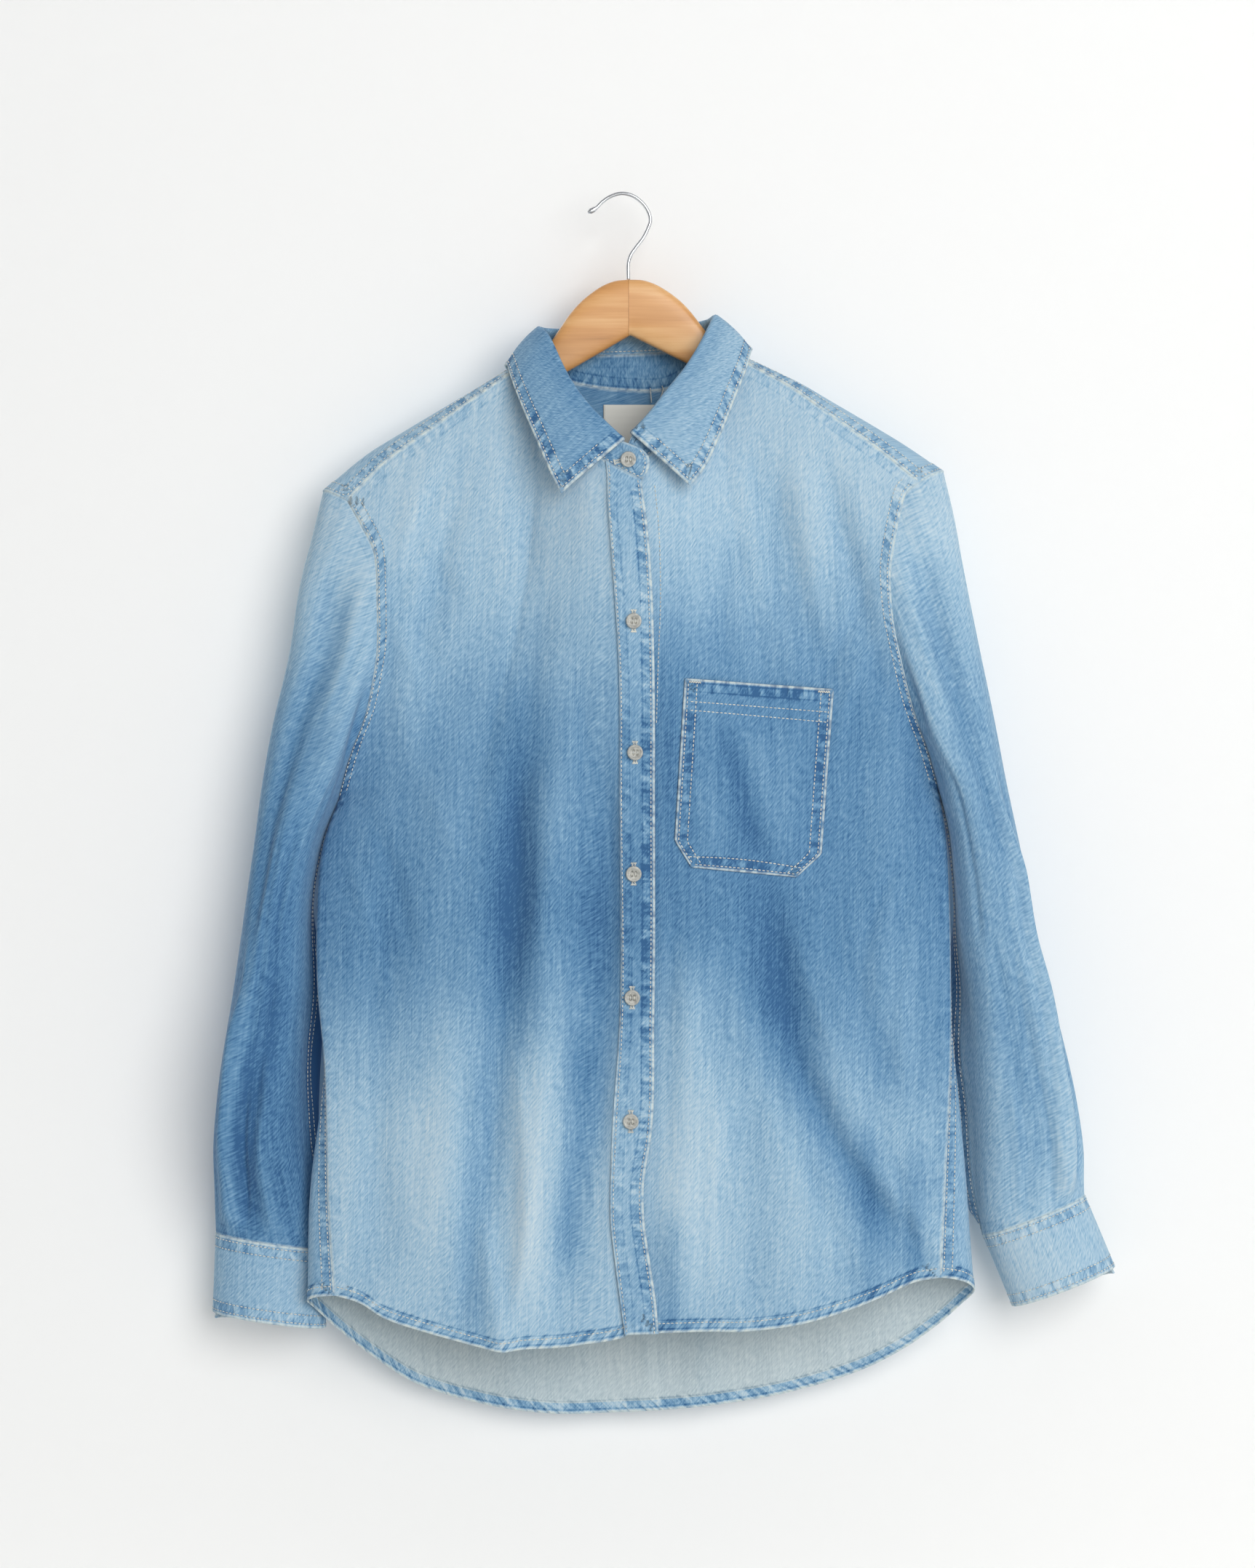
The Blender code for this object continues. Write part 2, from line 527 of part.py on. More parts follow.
def back_sheet():
    """The back, from the yoke seam to the hem and from the right side to the left."""
    rows = ARM_BACK_CELLS + SIDE_CELLS + 1
    t = np.linspace(0, 1, YOKE_SEAM_CELLS + 1)
    across = 0.35 * t + 0.65 * (1 - np.cos(np.pi * t)) / 2
    right = joined(ARM_B["right"], SIDES["right"])
    left = joined(ARM_B["left"], SIDES["left"])
    round_out = np.sqrt(1 - np.abs(2 * across - 1) ** 3)
    ruled_y = (right[:, 1] + left[:, 1]) / 2
    swell = np.zeros((rows, len(across), 3))
    swell[..., 1] = (BACK_DEPTH - ruled_y)[:, None] * round_out[None]
    down = np.clip((np.arange(rows) - ARM_BACK_CELLS) / SIDE_CELLS, 0, 1)

    def bulge(from_side):
        return (from_side / WRAP_AT) * np.exp(1 - from_side / WRAP_AT)

    swell[..., 0] = (column(SIDE_WRAP, 2, down)[:, None] * bulge(1 - across)[None]
                     - column(SIDE_WRAP, 1, down)[:, None] * bulge(across)[None])
    top = smooth(YOKE_SEAM, across)
    hem = smooth(HEM_BACK, across)
    sheet = patch(right, left, top, hem, across, across, swell, hold=(1, 3))
    height = fold_height(sheet[..., 0], sheet[..., 2], BACK_FOLDS)
    seam = ramp(np.minimum(across, 1 - across) / 0.16)[None] * ramp(np.arange(rows) / 4.0)[:, None]
    sheet[..., 1] += height * seam
    return sheet


def back(finish):
    sheet = back_sheet()
    inward = -normals(sheet)
    for side, edge in (("right", 0), ("left", -1)):
        inward[:ARM_BACK_CELLS + 1, edge] = -arm_outward(side, ARM_B[side])
        inward[ARM_BACK_CELLS:, edge] = -side_outward(side)
    inward[0] = -yoke_seam_outward()
    sheet = draw_in(sheet, ("top", "first", "last"))
    return wall("back", sheet, inward, CLOTH, finish), sheet


def yoke_sheet():
    """The yoke, from the neck out over the shoulders and down to the seam of the back. Its
    columns run round from the right shoulder seam by the back to the left one."""
    t = np.linspace(0, 1, YOKE_SEAM_CELLS + 1)
    across = 0.35 * t + 0.65 * (1 - np.cos(np.pi * t)) / 2
    outer = joined(ARM_E["right"], smooth(YOKE_SEAM, across), ARM_E["left"][::-1])
    u = np.linspace(0, 1, len(outer))
    return patch(SHOULDERS["right"], SHOULDERS["left"], NECK_B, outer, u, u)


def yoke(finish):
    sheet = yoke_sheet()
    inward = -normals(sheet)
    inward[0] = -neck_outward("back")
    inward[:, 0] = -shoulder_outward("right")
    inward[:, -1] = -shoulder_outward("left")
    n = ARM_END_CELLS
    inward[-1, n:-n] = -yoke_seam_outward()
    inward[-1, :n + 1] = -arm_outward("right", ARM_E["right"])
    inward[-1, -n - 1:] = -arm_outward("left", ARM_E["left"])[::-1]
    sheet = draw_in(sheet, ("top", "bottom", "first", "last"))
    return wall("yoke", sheet, inward, DOUBLE, finish), sheet


# ------------------------------------------------------------------ collar
def neck_and_fold():
    """The neck seam and the fold line of the collar, from the right end round by the back."""
    neck = joined(NECK["right"], NECK_B, NECK["left"][::-1])
    roll = joined(smooth(ROLL["right"], NECK_SHARES), even(ROLL["back"], len(NECK_B) - 1),
                  smooth(ROLL["left"], NECK_SHARES)[::-1])
    share = np.linspace(0, 1, len(roll))
    away = unit((roll - NECK_MIDDLE) * (1, 1, 0))
    return neck, roll + away * (ROLL_OUT * ramp(np.minimum(share, 1 - share) / 0.08))[:, None]


def fold_frame():
    """The directions up and outwards along the fold line, square to it."""
    neck, roll = neck_and_fold()
    along = unit(np.gradient(roll, axis=0))
    up = unit(roll - neck)
    up = unit(up - (up * along).sum(axis=-1, keepdims=True) * along)
    return up, np.cross(up, along)


def stand_seam_drop():
    """How far the seam of stand and fall lies below the fold line, from end to end."""
    share = np.linspace(0, 1, 2 * NECK_CELLS + len(NECK_B))
    low, high = STAND_SEAM
    return (low + (high - low) * ramp(np.minimum(share, 1 - share) / 0.4))[:, None]


def collar_stand(finish):
    neck, roll = neck_and_fold()
    up, _ = fold_frame()
    top = roll - up * stand_seam_drop()
    v = np.linspace(0, 1, STAND_ROWS + 1)[:, None, None]
    sheet = top * (1 - v) + neck * v
    inward = -normals(sheet)
    inward[-1] = -joined(neck_outward("right"), neck_outward("back"), neck_outward("left")[::-1])
    sheet = draw_in(sheet, ("top", "bottom"))
    sheet = np.concatenate([np.array(STAND_TAB)[:, None], sheet], axis=1)
    inward = np.concatenate([inward[:, :1], inward], axis=1)
    return wall("collar_stand", sheet, inward, DOUBLE, finish), sheet


def collar(finish):
    """The fall: up from the seam on the stand, over the fold line and down to its outer edge."""
    neck, roll = neck_and_fold()
    up, out = fold_frame()
    drop = stand_seam_drop()
    seam = [roll - up * (drop - SEAM_GAP / 2) * (1 - v) - up * FALL_FOLD[0][0] * v
            + out * FALL_FOLD[0][1] for v in (0, 0.5)]
    fold = [roll - up * below + out * reach for below, reach in FALL_FOLD]
    edge = joined(smooth(FALL_EDGE["right"], NECK_SHARES), even(FALL_EDGE["back"], len(NECK_B) - 1),
                  smooth(FALL_EDGE["left"], NECK_SHARES)[::-1])
    leaf = [fold[-1] * (1 - v) + edge * v + out * FALL_CROWN * 4 * v * (1 - v)
            for v in np.linspace(0, 1, FALL_ROWS + 1)[1:]]
    sheet = np.stack(seam + fold + leaf)
    return wall("collar", sheet, -normals(sheet), DOUBLE, finish), sheet


# ------------------------------------------------------------------ sleeves and cuffs
def cuff_frame(side):
    """The middle of a cuff's top edge, and its directions to the inner side, the back and down."""
    x, y, z, _, _, slope, shift, height = CUFF[side]
    tilt = np.radians(slope)
    inner = np.array([-sign(side) * np.cos(tilt), 0, -np.sin(tilt)])
    down = np.array([shift, 0, -np.sqrt(height**2 - shift**2)]) / height
    return np.array([x, y, z], float), inner, np.array([0.0, 1.0, 0.0]), down


def cuff_ring(side, angles):
    """Points round a cuff's top edge. An angle starts at the inner side and runs by the front."""
    middle, inner, backward, _ = cuff_frame(side)
    _, _, _, wide, deep, _, _, _ = CUFF[side]
    return (middle + np.cos(angles)[:, None] * inner * wide
            - np.sin(angles)[:, None] * backward * deep)


def sleeve_sections(side, z, angles):
    """Points of the sleeve's level sections: squared ellipses with a slanting inner side."""
    table = SLEEVE[side]
    outer, front_in, back_in, front_y, back_y = (column(table, k, z) for k in range(1, 6))
    power = 2 / SLEEVE_SQUARE
    c, s = np.cos(angles), np.sin(angles)
    deep = (front_y + back_y) / 2 - np.sign(s) * np.abs(s) ** power * (back_y - front_y) / 2
    share = (deep - front_y) / (back_y - front_y)
    inner = front_in + (back_in - front_in) * share
    wide = np.sign(c) * np.abs(c) ** power
    return np.stack([(outer + inner) / 2 + wide * (inner - outer) / 2, deep, z], -1)


def sleeve_sheet(side):
    """A sleeve, from the armhole down to the cuff, round from the underarm by the front."""
    ring = joined(ARM_F[side][::-1], ARM_E[side], ARM_B[side])[:-1]
    angles = 2 * np.pi * np.arange(len(ring)) / len(ring)
    end = cuff_ring(side, angles)
    v = np.linspace(0, 1, SLEEVE_ROWS + 1)[:, None]
    z = ring[None, :, 2] * (1 - v) + end[None, :, 2] * v
    turned = np.broadcast_to(angles, z.shape)
    sheet = sleeve_sections(side, z, turned)
    v = v[..., None]
    sheet = sheet + (1 - v) ** 4 * (ring - sheet[0])[None] + v**6 * (end - sheet[-1])[None]
    height = np.zeros_like(z)
    for z0, a0, z1, a1, width, rise in SLEEVE_FOLDS[side]:
        t = (z - z0) / (z1 - z0)
        centre = a0 + (a1 - a0) * np.clip(t, -0.2, 1.2)
        across = (np.degrees(turned) - centre + 180) % 360 - 180
        ends = ramp(t / 0.25) * ramp((1.15 - t) / 0.25)
        height = height + rise * ends * np.exp(-((across / width) ** 2))
    seam = ramp(v[..., 0] / 0.12) * ramp((1 - v[..., 0]) / 0.08)
    out = normals(sheet, closed=True, flip=side == "left")
    return sheet + out * (height * seam)[..., None]


def sleeve(side, finish):
    """A sleeve as two walls, its front and its back half, which meet under the arm and outside."""
    sheet = sleeve_sheet(side)
    inward = -normals(sheet, closed=True, flip=side == "left")
    ring = joined(ARM_F[side][::-1], ARM_E[side], ARM_B[side])[:-1]
    inward[0] = -arm_outward(side, ring)
    middle, _, _, _ = cuff_frame(side)
    inward[-1] = unit(middle - sheet[-1])
    placed = sheet.copy()
    placed[0] += unit(sheet[1] - sheet[0]) * SEAM_GAP / 2
    placed[-1] += unit(sheet[-2] - sheet[-1]) * SEAM_GAP / 2
    round_again = np.r_[0:len(ring), 0]
    placed, inward = placed[:, round_again], inward[:, round_again]
    half = len(ring) // 2
    turn = 1 if side == "right" else -1
    for name, columns in (("front", np.s_[:half + 1]), ("back", np.s_[half:])):
        part = draw_in(placed[:, columns], ("first", "last"))
        wall(f"sleeve_{side}_{name}", part[:, ::turn], inward[:, columns][:, ::turn], CLOTH, finish)
    return sheet


def sleeve_band(side, sheet, finish):
    """The band that binds the sleeve's slit, on the hidden side above the cuff."""
    out = normals(sheet, closed=True, flip=side == "left")
    rows, columns = np.s_[-BAND_ROWS - 1:-1], np.s_[BAND_COLUMN:BAND_COLUMN + 3]
    strip = (sheet + out * (BAND_THICK + SEAM_GAP))[rows, columns]
    turn = 1 if side == "right" else -1
    return wall(f"sleeve_band_{side}", strip[:, ::turn], -out[rows, columns][:, ::turn],
                BAND_THICK, finish)


def cuff(side, finish):
    """A cuff: a band whose ends pass each other, the outer one over the inner one."""
    middle, _, _, down = cuff_frame(side)
    lap = np.radians(CUFF_LAP_DEGREES)
    start = np.radians(CUFF_LAP_AT - 360)
    angles = np.linspace(start - lap, start + 2 * np.pi, CUFF_COLUMNS + 1)
    under = 1 - ramp((angles - start) / lap)[:, None]
    ring = cuff_ring(side, angles)
    inward = unit(middle - ring)
    ring = ring + inward * under * (DOUBLE + 2 * SEAM_GAP) + down * under * CUFF_LAP_DROP
    v = np.linspace(0, 1, CUFF_ROWS + 1)[:, None, None]
    sheet = ring + down * (SEAM_GAP / 2 + v * CUFF[side][7])
    inward = np.broadcast_to(inward, sheet.shape)
    turn = 1 if side == "right" else -1
    return wall(f"cuff_{side}", sheet[:, ::turn], inward[:, ::turn], DOUBLE, finish)


def cuff_button(side, finish):
    """The button that shuts the cuff, on its hidden side."""
    _, _, _, down = cuff_frame(side)
    angle = np.radians(CUFF_LAP_AT - CUFF_BUTTON_BEFORE)
    before, place, after = cuff_ring(side, angle + np.array([-0.1, 0, 0.1]))
    out = unit(np.cross(after - before, down)) * -sign(side)
    place = place + down * CUFF[side][7] / 2 + out * BUTTON_OFF
    return button(f"cuff_button_{side}", place, out, finish)


# ------------------------------------------------------------------ what lies on the fronts
def depth_on(sheet, x, z):
    """The y of a sheet's facets at these x and z."""
    a, b, c, d = sheet[:-1, :-1], sheet[:-1, 1:], sheet[1:, 1:], sheet[1:, :-1]
    corners = np.concatenate([np.stack([a, b, c], 2).reshape(-1, 3, 3),
                              np.stack([a, c, d], 2).reshape(-1, 3, 3)])
    flat = corners[..., [0, 2]]
    e1, e2 = flat[:, 1] - flat[:, 0], flat[:, 2] - flat[:, 0]
    area = e1[:, 0] * e2[:, 1] - e1[:, 1] * e2[:, 0]
    p = np.stack([np.ravel(x), np.ravel(z)], -1)[:, None] - flat[None, :, 0]
    s = (p[..., 0] * e2[:, 1] - p[..., 1] * e2[:, 0]) / area
    t = (e1[:, 0] * p[..., 1] - e1[:, 1] * p[..., 0]) / area
    outside = np.maximum(0, -s) + np.maximum(0, -t) + np.maximum(0, s + t - 1)
    best = outside.argmin(axis=1)
    row = np.arange(len(best))
    y = corners[..., 1]
    found = y[best, 0] + s[row, best] * (y[best, 1] - y[best, 0]) + t[row, best] * (
        y[best, 2] - y[best, 0])
    return found.reshape(np.shape(x))


def placket(front_sheet, finish):
    """The band down the right front, with the buttonholes."""
    edge, stitch = front_sheet[:, 0], front_sheet[:, 1]
    share = -PLACKET_EDGE / np.linalg.norm(stitch - edge, axis=-1)[:, None]
    sheet = np.stack([edge + (stitch - edge) * share, edge, stitch], axis=1)
    sheet[..., 1] -= CLOTH + SEAM_GAP
    inward = np.broadcast_to([0.0, 1.0, 0.0], sheet.shape)
    return wall("placket", sheet, inward, CLOTH, finish), sheet


def straight(start, end, cells):
    return np.linspace(start, end, cells + 1)


def pocket(front_sheet, finish):
    """The chest pocket, a little askew, with two corners cut off."""
    a, b, c, d, e, f = (np.array([x, 0.0, z]) for x, z in POCKET)
    left = joined(straight(a, f, POCKET_ROWS - 1), straight(f, e, 1))
    right = joined(straight(b, c, POCKET_ROWS - 1), straight(c, d, 1))
    share = np.linspace(0, 1, POCKET_COLUMNS + 1)
    sheet = patch(left, right, straight(a, b, POCKET_COLUMNS), straight(e, d, POCKET_COLUMNS),
                  share, share)
    sheet[..., 1] = depth_on(front_sheet, sheet[..., 0], sheet[..., 2]) - CLOTH - POCKET_GAP
    sheet = sheet[:, ::-1]
    return wall("pocket", sheet, -normals(sheet), CLOTH, finish)


def label(yoke_sheet, finish):
    """A blank woven label on the inside of the yoke, at the middle of the back."""
    x0, x1, z0, z1 = LABEL
    x, z = np.meshgrid(np.linspace(x1, x0, 5), np.linspace(z0, z1, 4))
    n = ARM_END_CELLS
    y = depth_on(yoke_sheet[:, n:-n], x, z) - DOUBLE - LABEL_GAP - LABEL_THICK
    sheet = np.stack([x, y, z], -1)
    return wall("label", sheet, -normals(sheet), LABEL_THICK, finish)


# ------------------------------------------------------------------ buttons
def button(name, place, facing, finish):
    """A round button with a raised rim and four holes. It looks along `facing`."""
    turns = 2 * np.pi * np.arange(BUTTON_SIDES) / BUTTON_SIDES
    profile = [(BUTTON_RADIUS - 0.5, 0), (BUTTON_RADIUS, 0.8),
               (BUTTON_RADIUS - 0.2, BUTTON_THICK - 0.4), (BUTTON_RADIUS - 0.8, BUTTON_THICK),
               (BUTTON_RADIUS - BUTTON_RIM - 0.8, BUTTON_THICK - BUTTON_DISH)]
    points = np.concatenate([np.stack([r * np.cos(turns), r * np.sin(turns),
                                       np.full(BUTTON_SIDES, h)], -1) for r, h in profile])
    n = BUTTON_SIDES
    faces = [tuple(range(n))[::-1], tuple(range((len(profile) - 1) * n, len(profile) * n))]
    for k in range(len(profile) - 1):
        for j in range(n):
            a, b = k * n + j, k * n + (j + 1) % n
            faces.append((a, b, b + n, a + n))
    made = add_mesh(name, points, faces, finish)
    holes = hole_cutter()
    cut = made.modifiers.new("holes", "BOOLEAN")
    cut.operation = "DIFFERENCE"
    cut.object = holes
    matrix = turn_to(place, facing)
    made.matrix_world = matrix
    holes.matrix_world = matrix
    return made


def front_button(name, x, z, sheet, finish):
    """A button on the front band or the stand, clear of its sheet all round."""
    turns = np.linspace(0, 2 * np.pi, 9)
    y = depth_on(sheet, x + BUTTON_RADIUS * np.cos(turns), z + BUTTON_RADIUS * np.sin(turns))
    return button(name, (x, y.min() - BUTTON_OFF, z), (0, -1, 0), finish)


def turn_to(place, facing):
    """A matrix that takes +Z to `facing` and the origin to `place`, in metres."""
    turn = Vector(facing).to_track_quat("Z", "Y").to_matrix().to_4x4()
    return Matrix.Translation(Vector(np.asarray(place, float) * MM)) @ turn


def hole_cutter():
    """Four thin posts, which cut the holes."""
    sides = 5
    turns = 2 * np.pi * np.arange(sides) / sides
    points, faces = [], []
    for quarter in range(4):
        angle = np.pi / 4 + quarter * np.pi / 2
        x, y = HOLE_OUT * np.sqrt(2) * np.cos(angle), HOLE_OUT * np.sqrt(2) * np.sin(angle)
        start = len(points)
        for h in (-1, BUTTON_THICK + 1):
            points += [(x + HOLE_RADIUS * np.cos(t), y + HOLE_RADIUS * np.sin(t), h)
                       for t in turns]
        faces += [tuple(range(start, start + sides))[::-1],
                  tuple(range(start + sides, start + 2 * sides))]
        for j in range(sides):
            a, b = start + j, start + (j + 1) % sides
            faces.append((a, b, b + sides, a + sides))
    made = add_mesh("hole_cutter", points, faces, material("cutter", ECRU, 0.5))
    made.hide_render = True
    made.display_type = "WIRE"
    return made


# ------------------------------------------------------------------ hanger
def tilted(points):
    """Points of the hanger's own frame, turned by its tilt about the hook's inner top."""
    a = np.radians(TILT)
    x, y, z = np.asarray(points, float).T
    return np.stack([x * np.cos(a) - z * np.sin(a), y, x * np.sin(a) + z * np.cos(a)], -1)


def hanger_outline():
    """The wooden part from the front: half of it, from the top middle to the underside."""
    crown = smooth([(d, 0, k) for d, k in HANGER_TOP], np.linspace(0, 1, 12))[:, [0, 2]]
    far, start = HANGER_REACH, HANGER_TOP[-1]
    slope = np.arctan(HANGER_SLOPE)
    top_end = start[1] - HANGER_SLOPE * (far - HANGER_END - start[0])
    arm = [(far - HANGER_END, top_end)]
    centre = np.array(arm[0]) - HANGER_END * np.array([np.sin(slope), np.cos(slope)])
    turns = np.pi / 2 - slope - np.radians([20, 55, 90, 125, 160])
    tip = [centre + HANGER_END * np.array([np.cos(t), np.sin(t)]) for t in turns]
    under = [(90, HANGER_UNDER - 90 * HANGER_UNDER_SLOPE), (0, HANGER_UNDER)]
    return np.array([*crown, *arm, *tip, *under])


def hanger(finish):
    half = hanger_outline()
    mirrored = half[1:-1][::-1] * (-1, 1)
    ring = np.concatenate([half, mirrored])
    before, after = np.roll(ring, 1, axis=0), np.roll(ring, -1, axis=0)
    n1, n2 = unit(ring - before), unit(after - ring)
    out = unit(np.stack([-(n1 + n2)[:, 1], (n1 + n2)[:, 0]], -1))
    half_turn = (n1 * n2).sum(axis=1).clip(-1, 1)
    reach = 1 / np.sqrt((1 + half_turn) / 2)
    levels = [(-HANGER_HALF, HANGER_ROUND), (-HANGER_HALF + 0.3 * HANGER_ROUND, 0.3 * HANGER_ROUND),
              (-HANGER_HALF + HANGER_ROUND, 0)]
    levels += [(-y, inset) for y, inset in levels[::-1]]
    points = []
    for y, inset in levels:
        flat = ring - out * (inset * reach)[:, None]
        points += [(h + HANGER_X, y, k) for h, k in flat]
    n = len(ring)
    faces = [tuple(range(n))[::-1], tuple(range((len(levels) - 1) * n, len(levels) * n))]
    for level in range(len(levels) - 1):
        for j in range(n):
            a, b = level * n + j, level * n + (j + 1) % n
            faces.append((a, b, b + n, a + n))
    return add_mesh("hanger", tilted(points), faces, finish)


def hook(finish):
    """The wire hook: round sections along its middle line, with a small ball at the free end."""
    route = smooth([(x, 0, z) for x, z in HOOK], np.linspace(0, 1, HOOK_POINTS))
    along = unit(np.gradient(route, axis=0))
    side = np.array([0.0, 1.0, 0.0])
    across = np.cross(along, side)
    size = np.full(len(route), WIRE)
    size[-len(HOOK_BALL):] *= HOOK_BALL[::-1]
    points = []
    for k in range(len(route)):
        for turn in 2 * np.pi * np.arange(HOOK_SIDES) / HOOK_SIDES:
            points.append(route[k] + size[k] * (np.cos(turn) * side + np.sin(turn) * across[k]))
    n = HOOK_SIDES
    faces = [tuple(range(n))[::-1], tuple(range(len(points) - n, len(points)))]
    for k in range(len(route) - 1):
        for j in range(n):
            a, b = k * n + j, k * n + (j + 1) % n
            faces.append((a, b, b + n, a + n))
    return add_mesh("hook", points, faces, finish)


# ------------------------------------------------------------------ run
def main():
    for old in list(bpy.data.objects):
        bpy.data.objects.remove(old, do_unlink=True)
    denim = material("denim", DENIM, 0.9)
    pale = material("denim_pale", DENIM_PALE, 0.9)
    horn = material("button_horn", BUTTON_GREY, 0.4)
    _, right_sheet = front("right", denim)
    _, left_sheet = front("left", denim)
    back(denim)
    _, yoke_points = yoke(denim)
    _, stand = collar_stand(pale)
    collar(pale)
    for side in ("right", "left"):
        sleeve_band(side, sleeve(side, denim), denim)
        cuff(side, pale)
        cuff_button(side, horn)
    _, band = placket(right_sheet, denim)
    pocket(left_sheet, denim)
    label(yoke_points, material("label_satin", SATIN, 0.5))
    for name, x, z in BUTTONS:
        front_button(name, x, z, stand if name == "button_stand" else band, horn)
    hanger(material("hanger_wood", HONEY_WOOD, 0.4))
    hook(material("hook_chrome", CHROME, 0.2, 1.0))


main()
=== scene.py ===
# %% [markdown]
# # A washed denim shirt on a wooden hanger
# The shirt is cut and sewn from flat pieces of cotton twill. So it is modelled as a tailor knows
# it: each piece of cloth is its own thin shell, made between seam lines that neighbours share, and
# the sewing, the buttons and the hanger are added to it.

# %% Frame and units
import json

import bpy
import numpy as np
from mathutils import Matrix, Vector

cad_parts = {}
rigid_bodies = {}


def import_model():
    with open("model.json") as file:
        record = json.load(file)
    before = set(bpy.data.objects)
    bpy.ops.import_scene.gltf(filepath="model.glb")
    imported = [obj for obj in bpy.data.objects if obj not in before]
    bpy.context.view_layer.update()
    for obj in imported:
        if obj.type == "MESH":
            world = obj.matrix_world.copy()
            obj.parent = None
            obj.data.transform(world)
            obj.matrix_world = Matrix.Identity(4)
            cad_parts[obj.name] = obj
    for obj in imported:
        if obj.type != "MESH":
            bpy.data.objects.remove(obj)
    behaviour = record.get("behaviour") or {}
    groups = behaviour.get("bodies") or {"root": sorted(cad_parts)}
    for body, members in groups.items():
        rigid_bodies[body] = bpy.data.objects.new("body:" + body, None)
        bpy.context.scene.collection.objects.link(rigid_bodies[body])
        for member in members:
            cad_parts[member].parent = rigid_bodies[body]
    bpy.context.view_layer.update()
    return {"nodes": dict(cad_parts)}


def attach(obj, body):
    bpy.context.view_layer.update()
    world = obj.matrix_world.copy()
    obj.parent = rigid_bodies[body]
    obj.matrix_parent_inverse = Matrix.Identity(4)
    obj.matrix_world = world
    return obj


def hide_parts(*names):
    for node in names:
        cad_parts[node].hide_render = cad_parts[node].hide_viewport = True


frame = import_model()
MM = 0.001
SIDES = ("right", "left")

# %% [markdown]
# ## Camera
# The shirt is seen straight from the front, from three metres away, so a long lens keeps its
# outline almost free of perspective. The lens follows from the height that the frame has to show.

# %% Camera
VIEW_FROM = np.array([5.6, -3000.0, -433.0])
VIEW_HEIGHT = 1153.5        # mm of the shirt's plane from the top to the bottom of the frame
SENSOR = 36.0
SEEN_TO = 20                # metres

lens = bpy.data.cameras.new("camera")
lens.sensor_fit = "VERTICAL"
lens.sensor_height = SENSOR
lens.lens = SENSOR * -VIEW_FROM[1] / VIEW_HEIGHT
lens.clip_end = SEEN_TO
camera = bpy.data.objects.new("camera", lens)
camera.location = VIEW_FROM * MM
camera.rotation_euler = (np.pi / 2, 0, 0)
bpy.context.scene.collection.objects.link(camera)
bpy.context.scene.camera = camera
print("lens:", round(lens.lens, 1), "mm")

# %% [markdown]
# ## Seam lines
# Each line is a few stations of x, y, z in millimetres: X to the left of whoever wears the shirt,
# -Y the front, +Z up, with the inner top of the hook at the origin. Right is at -X.

# %% Seam lines of the body
SHOULDER = {
    "right": [(-67, -10, -122), (-85, -12, -135), (-114.5, -13, -155.8), (-149, -14, -180.4),
              (-172, -15, -197.5), (-192, -16, -217.5), (-199.5, -16, -225.5)],
    "left": [(77, -10, -115), (96, -10, -125.7), (125, -11, -141.8), (148, -13, -158.2),
             (171, -14, -174.6), (194, -15, -191.7), (218.6, -16, -212)],
}
NECK_FRONT = {
    "right": [(14.5, -50, -212.5), (-11, -48.8, -199), (-33, -41.5, -181), (-46, -33, -164),
              (-57, -23.5, -144), (-64, -14.5, -128), (-67, -10, -122)],
    "left": [(-7, -45.5, -211), (17, -44.5, -198), (40, -39, -178), (55, -31, -159),
             (67, -21, -137), (75, -13, -120), (77, -10, -115)],
}
NECK_BACK = [(-67, -10, -122), (-67, 0, -119), (-64, 8.5, -120.5), (-53, 12.5, -129),
             (-30, 14, -138), (9, 15, -142.5), (36, 14, -141), (61, 12.5, -126),
             (74, 8.5, -114), (77, 0, -112), (77, -10, -115)]
ARM_FRONT = {
    "right": [(-199.5, -16, -225.5), (-188.8, -22, -244.3), (-179.2, -26, -264.7),
              (-177, -28, -300), (-177, -28, -336), (-180, -25, -356), (-186, -20, -383.4),
              (-197.7, -12, -413), (-206.9, -2, -445)],
    "left": [(218.6, -16, -212), (209.4, -20, -220), (204.7, -23.5, -234), (199.9, -27, -257.9),
             (197, -28, -280), (199, -28, -312), (205.3, -26, -342.7), (214.7, -21, -379.7),
             (225.3, -13, -408), (234.2, -2, -437)],
}
ARM_END = {
    "right": [(-199.5, -16, -225.5), (-213, -9, -218.8), (-218.3, 0, -217.7), (-214, 8, -225),
              (-205, 12, -243)],
    "left": [(218.6, -16, -212), (232, -9, -205), (238, 0, -203.3), (233, 8, -210.5),
             (224, 12, -229)],
}
ARM_BACK = {
    "right": [(-205, 12, -243), (-192, 15, -275), (-184, 16, -320), (-186, 14, -365),
              (-197, 8, -412), (-206.9, -2, -445)],
    "left": [(224, 12, -229), (212, 15, -262), (204, 16, -307), (207, 14, -352),
             (221, 8, -404), (234.2, -2, -437)],
}
SIDE = {
    "right": [(-206.9, -2, -445), (-217.5, -9, -478), (-221, -16, -515), (-220.5, -24, -578),
              (-214.4, -31, -642), (-211.5, -36, -735), (-207, -38, -804.4)],
    "left": [(234.2, -2, -437), (239.5, -9, -474), (241, -16, -520), (241.3, -24, -582),
             (240.4, -31, -636), (235.5, -36, -728), (232.4, -38, -791.2)],
}
YOKE_SEAM = [(-205, 12, -243), (-120, 16, -241), (8, 17, -237), (135, 16, -230), (224, 12, -229)]
